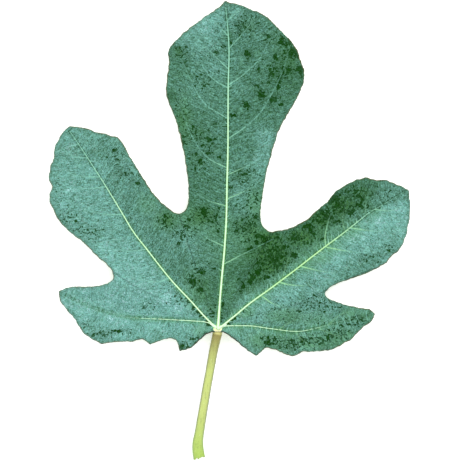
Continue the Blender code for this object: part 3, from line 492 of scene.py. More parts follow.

# Where the bloom and its painted sheen give way to deep green in specks and patches: x, y, reach along x and
# y, and how fully
BARE_PLACES = [
    # Middle lobe, upper half
    (15, 138, 2.4, 2.3, 0.98), (21.5, 117.5, 2.3, 2.4, 0.98), (27.5, 115.3, 2.5, 1.9, 1.0),
    (13.8, 112.8, 2.1, 1.9, 0.82), (32.5, 130, 1.1, 2.6, 0.98), (31, 125.5, 1.2, 2.8, 0.9),
    (30, 121.5, 1, 1.8, 0.9), (27, 130, 4.5, 5, 0.62), (26, 124, 3, 2.5, 0.5), (34, 144.5, 4, 3.2, 0.78),
    (38, 138, 3, 4, 0.8), (37.5, 130, 4, 4, 0.6), (41, 130, 1.5, 4, 0.8), (38, 135, 2, 3, 0.6),
    (30, 146, 3, 1.5, 0.62), (25.5, 146.5, 1.4, 1.2, 0.85), (28, 137, 1.4, 4.5, 0.55),
    (19.5, 122, 1.8, 1.2, 0.85), (20.5, 129.5, 1, 3.2, 0.62), (14.5, 157, 3.5, 1.5, 0.6),
    (12.5, 152, 2, 2.4, 0.72), (11, 147.5, 1.5, 1, 0.8), (19, 151.5, 1, 1.5, 0.7),
    (16, 146, 2.4, 1.5, 0.5), (32.5, 114, 2.5, 2, 0.58), (31, 112.5, 1.2, 1, 0.75), (-18, 138, 5, 5, 0.4),
    (-16, 141, 2, 2, 0.72), (2.5, 142.3, 1.5, 1.4, 0.8), (6.6, 144, 0.8, 1.6, 0.98),
    (-0.8, 138.5, 2, 1, 0.8), (0.2, 136, 1, 1.5, 0.7), (0, 129.5, 1, 0.8, 1.0), (-8, 127.5, 1.2, 1, 0.85),
    (-10, 126.5, 1, 0.8, 0.8), (-4, 125, 1.1, 1.8, 0.68), (-6.5, 122, 1.2, 1, 0.8),
    (-2, 122, 1.5, 1, 0.7), (-6, 119.5, 1, 1, 0.75), (-14, 128, 1.2, 1, 0.6), (-17, 112, 5, 5, 0.36),
    (-11.5, 100.5, 2.5, 1.5, 0.66), (-9, 97.5, 3, 2, 0.62), (-17, 95, 2.6, 4, 0.66),
    (-3.5, 95, 2.4, 2, 0.58), (-1.5, 95, 1, 1.2, 0.95), (-1.5, 103, 1.8, 0.9, 0.8),
    (4, 102, 1.8, 1.2, 0.78), (7.5, 107.5, 2, 1.2, 0.66),
    # Middle lobe, lower half
    (-13, 88, 1.2, 1.4, 0.82), (-11, 88, 1, 1, 1.0), (-9, 84.5, 1.1, 2.3, 0.9), (-7, 92, 3, 1.5, 0.64),
    (-4, 92, 1.5, 1.3, 0.78), (-11, 80, 1, 2, 0.66), (-4.5, 88.5, 1.7, 0.9, 0.92),
    (0.5, 86.5, 1.2, 0.8, 0.85), (-6.5, 80.5, 0.9, 0.6, 0.8), (2.5, 83.5, 0.8, 0.7, 0.8),
    (10, 80, 2.4, 0.9, 0.8), (13.5, 78, 1.6, 1.3, 0.84), (12.5, 74, 1, 0.8, 0.7),
    (6.5, 71.5, 1.3, 1.3, 0.95), (16.5, 74.5, 1, 0.7, 0.7), (21, 77, 1, 0.7, 0.7),
    (19.5, 67, 1, 2.8, 0.85), (-7, 58.5, 2.1, 2.5, 1.0), (-14.5, 55, 1.6, 1, 0.82),
    (-17, 51.5, 1.3, 0.9, 0.82), (-4, 54, 1.4, 2, 0.62), (0.2, 52, 1.1, 3, 0.66), (0.2, 62, 1.1, 3, 0.62),
    (-1, 57, 0.8, 2.8, 0.82), (0, 49.5, 1, 1, 0.85), (11, 56, 5, 5, 0.2), (11.5, 60, 1.1, 0.6, 1.0),
    (9.5, 53.5, 2.4, 1.3, 0.76), (13, 50.5, 2.4, 1.6, 0.74), (16, 53, 1.1, 1.5, 0.66),
    (19, 57, 1.2, 1.5, 0.85), (9, 49.3, 1.4, 1.4, 0.68), (16.5, 50, 1, 1, 0.6), (13.5, 56.5, 1, 1, 0.8),
    # Between the left lobe and the joint
    (-27.5, 56, 2.4, 3, 0.78), (-27, 51.5, 3.2, 1, 0.8), (-16.5, 51.8, 1.4, 1.1, 0.82),
    (-18, 46.5, 2.4, 2, 0.64), (-19.5, 43, 1.4, 2, 0.78), (-21, 48.5, 0.8, 2, 0.54),
    (-5, 45, 1.2, 0.8, 1.0), (-24, 50, 6, 6, 0.3), (-13, 24, 2.8, 2.2, 1.1), (-12.5, 27, 1.2, 1.8, 0.9),
    (-8.3, 29.5, 2.4, 2.3, 1.04), (-9, 20, 1.9, 1.4, 0.88), (-8.5, 24.5, 1.5, 1, 0.8),
    (-2, 30.5, 1.4, 1, 0.8), (-4.5, 33.5, 1.4, 1, 0.75), (-3, 8.5, 2.4, 2, 0.78),
    (-20, 18, 1.2, 0.7, 0.95), (-23, 19, 0.8, 1, 0.85), (-15, 15, 2, 0.8, 0.75),
    (-12, 11, 2.4, 1.4, 0.85), (-16, 12.5, 1.4, 1.1, 0.72), (-10, 8.5, 2, 0.8, 0.82),
    (-28, 5.2, 3.2, 0.5, 1.0), (-22, 5.2, 3, 0.45, 0.9),
    # Close beside the main ribs at the joint, dark lines that are painted rib shadow
    (-4.3, 3.1, 1.3, 1.2, 0.95), (-5.6, 4.6, 1.3, 1.3, 0.95), (-7, 6, 1.3, 1.3, 1.0),
    (-8.5, 7.6, 1.4, 1.3, 1.0), (-10, 9.3, 1.4, 1.3, 0.95), (-14.6, 13.8, 1.2, 1.1, 0.85),
    (5.6, 3.5, 1.2, 1, 0.95), (7, 4.6, 1.2, 1.1, 0.95), (8.5, 5.8, 1.2, 1.1, 0.95),
    (10, 7.1, 1.2, 1.1, 0.95), (11.6, 8.4, 1.1, 1, 0.9), (1.8, 6, 0.9, 3.8, 0.95),
    (2.4, 13, 0.8, 3.4, 0.85), (13.2, 9.6, 1.1, 1, 0.8), (-3.4, 9, 2, 2.4, 0.85),
    (-5.6, 7.6, 1.4, 1.1, 0.8), (-1.4, 12, 1.1, 2, 0.8), (-6, -2.2, 2, 1, 0.9), (-9, -4, 2, 1.2, 0.72),
    (-12, -6.5, 2.4, 1.4, 0.62), (-15, -8.5, 1.6, 1, 0.75),
    # Left base lobe
    (-62, -3, 2.4, 0.9, 0.8), (-57, -2.2, 4, 1.2, 0.8), (-50, -0.5, 4, 0.9, 0.82), (-46, 0, 2, 1, 0.62),
    (-44.5, -1.5, 1.5, 0.8, 0.75), (-17.8, -8, 1.6, 1.4, 1.0), (-65.5, 2, 2, 1.5, 0.6),
    (-37, 12, 1.2, 0.8, 0.6), (-12.5, -6.5, 1, 2, 0.5),
    # Left lobe
    (-63, 49.8, 4, 1, 0.75), (-58, 50, 2, 0.8, 0.72), (-60.5, 44, 1.4, 1, 0.75),
    (-71, 54.5, 1.1, 0.9, 1.0), (-72.5, 59, 1.4, 1, 0.65), (-78, 58.5, 2, 1.5, 0.6),
    (-44, 56, 1.3, 0.8, 0.9), (-79, 55, 2, 2, 0.55), (-51.5, 90, 1.6, 1.2, 1.0),
    (-50.2, 85.2, 1.5, 0.7, 0.95), (-55.2, 87, 1.2, 1.8, 0.75), (-47.3, 78.3, 2.5, 1.2, 1.0),
    (-44, 80, 1, 0.7, 0.95), (-49, 80, 0.7, 1, 0.85), (-40, 73.3, 1.4, 0.9, 1.0), (-81, 60, 3, 3, 0.3),
    # Dark side of the right lobe, specks with painted shade where it turns from the light, and between it and
    # the joint
    (57.5, 65.5, 3.2, 3.0, 1.0), (60.5, 62.8, 2.4, 1.8, 0.9), (28, 37, 4.5, 5.5, 0.94),
    (20.5, 29.3, 2.4, 2.3, 0.98), (24, 44, 3, 3, 0.78), (29, 33, 3, 3, 0.96), (20, 33, 3, 3, 0.74),
    (16, 40, 2.5, 2, 0.66), (16, 24.5, 2, 1.8, 0.76), (20, 44, 2.5, 2, 0.7), (48, 48, 3, 2, 0.68),
    (51.5, 46, 2, 1.6, 0.64), (21, 47, 3, 2, 0.72), (38.5, 45, 2.6, 2.2, 0.72),
    (45, 51.5, 3.4, 2.6, 0.82), (33, 42, 4, 3, 0.62), (38, 37, 4, 2.2, 0.8), (24, 26.5, 2.8, 1.8, 0.8),
    (17, 26.5, 1.6, 1.8, 0.85), (12.5, 22.5, 1.4, 2.8, 0.9), (11.5, 20, 1, 1.4, 0.95),
    (10.5, 25.5, 1, 1, 0.85), (30, 37, 12, 12, 0.2), (50, 52, 10, 6, 0.18), (58.5, 66.2, 3, 2.4, 1.15),
    (60, 62.8, 1.9, 1.2, 1.1), (55, 57.5, 3.2, 3, 0.85), (52, 59, 2, 2, 0.9), (50, 55.5, 3, 3, 0.74),
    (63, 60, 2, 1.5, 0.8), (67, 58.5, 3.5, 3, 0.78), (69, 68, 4, 3, 0.62), (72, 63, 4, 3, 0.6),
    (65, 70, 4, 3, 0.6), (37, 46.5, 3, 2, 0.72), (30, 47, 2, 2, 0.66), (60.5, 54, 3, 3, 0.58),
    (65, 64, 10, 7, 0.18),
    # Pale side of the right lobe
    (71, 35.5, 1.4, 1, 0.85), (74, 36, 3, 3, 0.45), (82, 37.5, 3, 1.6, 0.62), (85.5, 40, 2, 1.8, 0.66),
    # Right base lobe
    (45, 15, 8, 3, 0.44), (50, 11, 8, 4, 0.44), (62, 1.8, 1.4, 1.2, 0.9), (66, 2.5, 2.6, 1.5, 0.8),
    (70, 5, 3, 2, 0.68), (62, 11.5, 4, 1.2, 0.55), (25, -6, 2.8, 1.9, 1.0), (24, -4, 3.4, 1.8, 0.78),
    (32, -7, 5, 3, 0.66), (38, -6, 4, 2.6, 0.7), (45, -5, 6, 2.5, 0.74), (52, -5.5, 5, 2.4, 0.76),
    (57, -3, 4, 2.4, 0.62), (61, -1.5, 3, 2, 0.84), (66, 3, 8, 5, 0.36), (36, -3, 10, 2.4, 0.4),
]

# Where the bloom and its painted sheen give way to deep green in many fine dots: x, y, reach along x and y,
# and how densely
DOTTED_PLACES = [
    (27, 37, 9, 10, 0.86), (26, 46, 8, 4.5, 0.78), (41, 46, 9, 6, 0.72), (52, 56, 7, 5, 0.8),
    (62, 62, 9, 6, 0.78), (72, 68, 8, 5, 0.6), (18, 27, 6, 4, 0.54), (14, 52, 7, 8, 0.76),
    (17, 66, 5, 9, 0.56), (12, 62, 8, 6, 0.5), (35, 136, 8, 14, 0.56), (14, 152, 8, 5, 0.62),
    (28, 146, 8, 6, 0.56), (30, 119, 6, 7, 0.42), (22, 129, 7, 7, 0.42), (-18, 138, 5, 5, 0.6),
    (-18, 109, 5, 12, 0.5), (-10, 98, 8, 6, 0.56), (-11, 84, 6, 7, 0.5), (-7, 124, 6, 5, 0.5),
    (-1, 138, 4, 3, 0.54), (-7, 57, 9, 6, 0.62), (-16, 49, 7, 6, 0.56), (-26, 55, 5, 5, 0.66),
    (12, 77, 8, 5, 0.6), (-66, 50, 7, 3, 0.6), (-75, 58, 5, 5, 0.6), (-80, 68, 3, 8, 0.5),
    (-18, 15, 7, 3, 0.56), (-24, 22, 5, 3, 0.4), (-36, 12, 6, 3, 0.46), (-57, -2, 10, 2.4, 0.6),
    (-47, -1, 5, 2, 0.4), (-12, -5, 5, 3, 0.56), (-11, 27, 5, 8, 0.5), (-50, 86, 6, 5, 0.48),
    (-45, 79, 6, 5, 0.5), (-66, 2, 4, 3, 0.5), (50, 13, 12, 5, 0.62), (38, -7, 18, 4, 0.66),
    (60, -2, 8, 4, 0.66), (70, 5, 6, 4, 0.62), (76, 36, 8, 3, 0.5), (86, 41, 4, 3, 0.56),
    (22, 7, 12, 4, 0.36), (84, 68, 6, 4, 0.4), (35, 10, 11, 6, 0.5), (47, 6, 10, 5, 0.42),
    (66, 8, 7, 4, 0.44),
]

# The short pale veins close beside the three large ribs: for each rib the gap between two and their
# length, in millimetres, and the stretch of the rib that has them
SPUR_SEED = 11
SPUR_GAPS = (3.2, 4.5, 1.9)
SPUR_REACHES = (2.0, 1.8, 3.8)
SPURS_START = 7.0
SPURS_END = 0.78
SPUR_SPREAD = (0.4, 1.6)
SPUR_LEAN = (0.8, 1.35)
SPUR_BEND = (-0.2, 0.5)
SPUR_LENGTHS = (0.4, 1.4)
SPUR_POINTS = 7
SPUR_SIDES = 6
SPUR_PROFILE = (-0.3, 0.8, SPUR_SIDES)
SPUR_TIP = 0.3
SPUR_TONES = (0.7, 1.3)
SPUR_WARMTHS = (0.2, 0.2, 0.5)
SPUR_FLANK = 0.35


def rgb(red, green, blue):
    """Return a colour written as 0 to 255 for a screen as the linear colour that Blender works in."""
    channels = [channel / 255.0 for channel in (red, green, blue)]
    return [c / 12.92 if c <= 0.04045 else ((c + 0.055) / 1.055) ** 2.4 for c in channels] + [1.0]


def colour_property(name, description, default):
    """Return a colour that a user can change."""
    return FloatVectorProperty(
        name=name, description=description, default=default, subtype="COLOR", size=4, min=0.0, max=1.0
    )


def length_property(name, description, millimetres):
    """Return a length that a user can change."""
    return FloatProperty(name=name, description=description, default=millimetres * MM, unit="LENGTH")


class BladeLook(bpy.types.PropertyGroup):
    """The blade's colours and finish."""

    # Deep green with neither bloom nor painted sheen on it
    bare_green: colour_property("Bare green", "Upper face where the bloom is rubbed off", rgb(15, 66, 3))
    # Thin bloom with a little painted sheen
    thin_bloom_and_sheen: colour_property("Thin bloom", "Upper face under a thin bloom", rgb(67, 112, 85))
    # Full bloom with its painted sheen, a blue-green reflection of the sky painted into the colour
    pale_bloom_and_sheen: colour_property("Full bloom", "Upper face under a full bloom", rgb(121, 184, 173))
    vein_green: colour_property("Veins", "Fine veins under a full bloom", rgb(138, 200, 182))
    dark_vein: colour_property("Dark veins", "Fine veins under a thin bloom", rgb(88, 143, 106))
    # Painted glint: the palest specks, where the painted sheen is brightest
    glint: colour_property("Glint", "Palest specks of the bloom", rgb(192, 234, 238))
    under_green: colour_property("Underside", "Underside between the veins", rgb(138, 166, 118))
    under_vein: colour_property("Underside veins", "Raised net of the underside", rgb(186, 202, 150))
    # Green between the bare dots
    dotted_zone_green: colour_property("Rubbed bloom", "Upper face between its bare dots", rgb(64, 114, 50))
    # Brown rim: a dry edge with a painted shadow line along it
    edge_brown_and_shadow: colour_property("Edge", "Dry rim of the blade", rgb(112, 104, 74))
    # Painted shade on the rim beside the stalk
    notch_edge_shade: colour_property("Edge at the joint", "Rim of the blade beside the stalk", rgb(66, 58, 48))
    rib_green: colour_property("Beside the ribs", "Yellower green close beside the ribs", rgb(112, 178, 122))
    lush_green: colour_property("Fresh green", "Fresher green of some parts", rgb(98, 158, 92))
    side_green: colour_property("Side ribs", "Side ribs where they leave a large rib", rgb(162, 222, 166))
    roughness: FloatProperty(
        name="Roughness", description="How dull the bloom is", default=0.56, min=0.05, max=1.0
    )


class RibLook(bpy.types.PropertyGroup):
    """The ribs' sizes and colours."""

    width_at_joint: length_property("Width at the joint", "Common width of the ribs where they meet", 1.25)
    width_at_tip: length_property("Width at the tip", "Common width of the ribs at their tips", 0.36)
    side_width: length_property("Side rib width", "Where a side rib leaves its rib", 0.34)
    spur_width: length_property("Spur width", "Short veins beside the large ribs", 0.36)
    joint_colour: colour_property("Rib at the joint", "Ribs where they meet", rgb(224, 248, 218))
    middle_colour: colour_property("Rib half way", "Ribs half way along a lobe", rgb(206, 246, 206))
    cream: colour_property("Joint", "Joint where the stalk begins", rgb(236, 232, 178))
    flank: colour_property("Flank", "Sides of the ribs", rgb(138, 200, 96))
    yellow_green: colour_property("Yellower rib", "Right and base ribs along a lobe", rgb(190, 234, 174))
    faded: colour_property("Faded rib", "Base ribs where they sink into the blade", rgb(122, 184, 164))
    tip_colour: colour_property("Rib at the tip", "Ribs near a lobe's tip", rgb(146, 204, 180))


class StalkLook(bpy.types.PropertyGroup):
    """The stalk's colours."""

    olive: colour_property("Top", "Stalk where it meets the blade", rgb(152, 148, 82))
    top_cream: colour_property("Foot of the joint", "Palest part of the stalk's top", rgb(214, 208, 132))
    ring: colour_property("Ring", "Ring round the stalk's top", rgb(138, 122, 60))
    pale: colour_property("Middle", "Stalk along its length", rgb(191, 203, 116))
    # Painted shade on the stalk's flanks, darker where they turn away from its top
    shaded_side_olive: colour_property("Sides", "Flanks of the stalk", rgb(110, 118, 70))
    end_green: colour_property("End", "Stalk near its cut end", rgb(146, 188, 58))
    cut: colour_property("Cut", "Torn fibres of the cut end", rgb(224, 228, 190))


class HairLook(bpy.types.PropertyGroup):
    """The hairs' size and colour."""

    length: length_property("Length", "Longest hair", 0.55)
    thickness: length_property("Thickness", "A hair at its root", 0.05)
    under_count: IntProperty(name="Under the blade", description="Hairs on the ribs' underside", default=9000)
    stalk_count: IntProperty(name="On the stalk", description="Hairs on the stalk", default=2600)
    edge_count: IntProperty(name="Along the edge", description="Hairs along the blade's edge", default=1800)
    colour: colour_property("Colour", "Hairs", rgb(222, 228, 200))


class StageLook(bpy.types.PropertyGroup):
    """The floor, the lights and the camera."""

    floor_colour: colour_property("Floor", "Plain pale floor", [0.95, 0.95, 0.95, 1.0])
    floor_glow: FloatProperty(name="Floor glow", description="Light of the floor itself", default=0.4)
    sky_strength: FloatProperty(name="Sky", description="Even light from all round", default=0.95)
    main_power: FloatProperty(name="Main light", description="Soft light", default=5.2, unit="POWER")
    fill_power: FloatProperty(name="Fill light", description="Soft light", default=1.6, unit="POWER")
    view_width: length_property("View width", "Width of the view at the leaf", 230.0)
    lens: FloatProperty(name="Lens", description="Focal length in millimetres", default=240.0)


class Value:
    """A number that varies over a surface: a node's output, with Python's operators on it."""

    def __init__(self, graph, socket):
        self.graph = graph
        self.socket = socket

    def __add__(self, other):
        return self.graph.maths("ADD", self, other)

    def __sub__(self, other):
        return self.graph.maths("SUBTRACT", self, other)

    def __rsub__(self, other):
        return self.graph.maths("SUBTRACT", other, self)

    def __mul__(self, other):
        return self.graph.maths("MULTIPLY", self, other)

    __radd__ = __add__
    __rmul__ = __mul__


class Graph:
    """A new material, and the ways that its nodes are made."""

    def __init__(self, name):
        self.material = bpy.data.materials.new(name)
        self.material.use_nodes = True
        self.tree = self.material.node_tree
        self.tree.nodes.clear()

    def node(self, kind, settings=None, sockets=None):
        """Add a node: its settings first, then the values and links of its sockets."""
        node = self.tree.nodes.new(kind)
        for name, value in (settings or {}).items():
            setattr(node, name, value)
        for name, value in (sockets or {}).items():
            if isinstance(value, Value):
                self.tree.links.new(value.socket, node.inputs[name])
            else:
                node.inputs[name].default_value = value
        return node

    def value(self, kind, settings=None, sockets=None, output=0):
        """Add a node and return one of its outputs."""
        return Value(self, self.node(kind, settings, sockets).outputs[output])

    def maths(self, operation, *values):
        """Return the result of one Math node."""
        return self.value("ShaderNodeMath", {"operation": operation}, dict(enumerate(values)))

    def least(self, first, second):
        """Return the smaller of two values."""
        return self.maths("MINIMUM", first, second)

    def most(self, first, second):
        """Return the larger of two values."""
        return self.maths("MAXIMUM", first, second)

    def ramp(self, value, low, high, start=0.0, end=1.0):
        """Return a smooth step from start to end as the value goes from low to high."""
        settings = {"interpolation_type": "SMOOTHSTEP"}
        return self.value("ShaderNodeMapRange", settings, dict(enumerate((value, low, high, start, end))))

    def attribute(self, name):
        """Return a number that the mesh carries at each of its points."""
        return self.value("ShaderNodeAttribute", {"attribute_name": name}, output="Fac")

    def place(self, stretch=(1.0, 1.0, 1.0)):
        """Return the place on the object in millimetres, stretched along the axes."""
        here = self.value("ShaderNodeTexCoord", output="Object")
        scale = [part / MM for part in stretch]
        return self.value("ShaderNodeVectorMath", {"operation": "MULTIPLY"}, {0: here, 1: scale})

    def along_veins(self, short, long):
        """Return a place where patterns are short along the nearest vein and long away from it."""
        along = self.attribute("vein_along") * (1.0 / short)
        away = self.attribute("vein_away") * (1.0 / long)
        return self.value("ShaderNodeCombineXYZ", {}, {0: along, 1: away})

    def noise(self, place, size, detail=3.0, roughness=0.55, distortion=0.0):
        """Return soft noise from 0 to 1 whose patches are about a size across."""
        sockets = {"Vector": place, "Scale": 1.0 / size, "Detail": detail}
        sockets.update({"Roughness": roughness, "Distortion": distortion})
        return self.value("ShaderNodeTexNoise", {}, sockets)

    def cells(self, place, size, feature="DISTANCE_TO_EDGE"):
        """Return the distance to the borders or middles of cells about a size across."""
        sockets = {"Vector": place, "Scale": 1.0 / size}
        return self.value("ShaderNodeTexVoronoi", {"feature": feature}, sockets)

    def line(self, value, width, strength):
        """Return a thin line where a value passes zero."""
        return self.ramp(self.maths("ABSOLUTE", value), 0.0, width, strength, 0.0)

    def warp(self, place, size, reach):
        """Return the place shifted by soft noise, by up to about half the reach."""
        sockets = {"Vector": place, "Scale": 1.0 / size, "Detail": 2.0}
        drift = self.value("ShaderNodeTexNoise", {}, sockets, output="Color")
        settings = {"operation": "MULTIPLY_ADD"}
        return self.value("ShaderNodeVectorMath", settings, {0: drift, 1: [reach] * 3, 2: place})

    def mix(self, part, low, high):
        """Return a colour between two colours."""
        return self.value("ShaderNodeMix", {"data_type": "RGBA"}, {0: part, 6: low, 7: high}, output=2)

    def bump(self, height, depth, strength=1.0):
        """Return the normal of a surface with small heights from 0 to 1 over a depth in millimetres."""
        sockets = {"Height": height, "Distance": depth * MM, "Strength": strength}
        return self.value("ShaderNodeBump", {}, sockets)

    def finish(self, **sockets):
        """Connect the surface shader and return the material."""
        named = {name.replace("_", " "): value for name, value in sockets.items()}
        shader = self.node("ShaderNodeBsdfPrincipled", {}, named)
        output = self.node("ShaderNodeOutputMaterial")
        self.tree.links.new(shader.outputs[0], output.inputs[0])
        return self.material


def darker(colour, part):
    """Return a colour with only a part of its light."""
    return [channel * part for channel in colour[:3]] + [1.0]


def smooth_through(points, step):
    """Return points about a step apart on a smooth curve through the given ones, ends kept."""
    knots = [np.array(point, dtype=float) for point in points]
    knots.insert(0, 2.0 * knots[0] - knots[1])
    knots.append(2.0 * knots[-1] - knots[-2])
    fine = []
    for before, start, end, after in zip(knots, knots[1:], knots[2:], knots[3:]):
        for part in np.linspace(0.0, 1.0, 12, endpoint=False):
            pull = 2.0 * start + (end - before) * part
            bend = (2.0 * before - 5.0 * start + 4.0 * end - after) * part**2
            twist = (3.0 * start - before - 3.0 * end + after) * part**3
            fine.append((pull + bend + twist) / 2.0)
    fine.append(knots[-2])
    fine = np.array(fine)
    along = np.concatenate([[0.0], np.cumsum(np.linalg.norm(np.diff(fine, axis=0), axis=1))])
    count = max(1, round(along[-1] / step))
    places = np.linspace(0.0, along[-1], count + 1)
    return np.stack([np.interp(places, along, column) for column in fine.T], axis=1)


def headings(line):
    """Return which way a line in the plan runs at each of its points."""
    along = np.gradient(line, axis=0)
    return along / np.linalg.norm(along, axis=1)[:, None]


def left_of(along):
    """Return the directions square to the given ones, to their left."""
    return np.stack([-along[:, 1], along[:, 0]], axis=1)


def angles(count):
    """Return evenly spaced angles once round."""
    return [2.0 * math.pi * step / count for step in range(count)]


def tree_of(points):
    """Return a tree that finds the nearest of many plan points."""
    tree = kdtree.KDTree(len(points))
    for index, (x, y) in enumerate(points):
        tree.insert((x, y, 0.0), index)
    tree.balance()
    return tree


def two_noises(points, sizes, layers):
    """Return soft noise of two sizes at each point, the second half as strong as the first."""
    total = np.zeros(len(points))
    for size, layer, part in zip(sizes, layers, (1.0, 0.5)):
        total += part * np.array([noise.noise((x / size, y / size, layer)) for x, y in points])
    return total


def ring_faces(rings, sides, flipped=False):
    """Return the four-cornered faces that join each ring of points to the next."""
    faces = []
    for low in range(0, (rings - 1) * sides, sides):
        for side in range(sides):
            following = (side + 1) % sides
            face = (low + side, low + sides + side, low + sides + following, low + following)
            faces.append(face[:1] + face[:0:-1] if flipped else face)
    return faces


def inside(points, outline):
    """Return which points lie inside the outline."""
    ends = np.roll(outline, -1, axis=0)
    x = points[:, 0:1]
    y = points[:, 1:2]
    spans = (outline[:, 1] > y) != (ends[:, 1] > y)
    rise = np.where(ends[:, 1] == outline[:, 1], 1.0, ends[:, 1] - outline[:, 1])
    crossing = outline[:, 0] + (y - outline[:, 1]) * (ends[:, 0] - outline[:, 0]) / rise
    return (spans & (x < crossing)).sum(axis=1) % 2 == 1


class Lines:
    """Lines in the plan that can say how far any point is from the nearest of them."""

    def __init__(self, lines, closed=False):
        starts = []
        ends = []
        owners = []
        places = []
        for number, line in enumerate(lines):
            count = len(line) if closed else len(line) - 1
            starts.append(line[:count])
            ends.append(np.roll(line, -1, axis=0)[:count])
            owners.append(np.full(count, number))
            places.append(np.arange(count) * OUTLINE_POINT_STEP)
        self.starts = np.concatenate(starts)
        self.ends = np.concatenate(ends)
        self.owners = np.concatenate(owners)
        self.places = np.concatenate(places)
        self.tree = tree_of((self.starts + self.ends) / 2.0)

    def nearest(self, points):
        """Return each point's distance to the lines and the nearest segment."""
        away = np.full(len(points), FAR)
        segment = np.zeros(len(points), dtype=int)
        found = [self.tree.find_n((x, y, 0.0), NEAREST_TRIED) for x, y in points]
        for rank in range(NEAREST_TRIED):
            index = np.array([near[min(rank, len(near) - 1)][1] for near in found])
            span = self.ends[index] - self.starts[index]
            offset = points - self.starts[index]
            along = np.clip((offset * span).sum(axis=1) / (span * span).sum(axis=1), 0.0, 1.0)
            distance = np.linalg.norm(offset - along[:, None] * span, axis=1)
            closer = distance < away
            away = np.where(closer, distance, away)
            segment = np.where(closer, index, segment)
        return away, segment

    def along_and_away(self, points):
        """Return each point's place along the nearest line and its distance from it, left positive."""
        away, segment = self.nearest(points)
        span = self.ends[segment] - self.starts[segment]
        offset = points - self.starts[segment]
        along = (offset * span).sum(axis=1) / np.linalg.norm(span, axis=1)
        left = np.sign(span[:, 0] * offset[:, 1] - span[:, 1] * offset[:, 0])
        return self.places[segment] + along, left * away


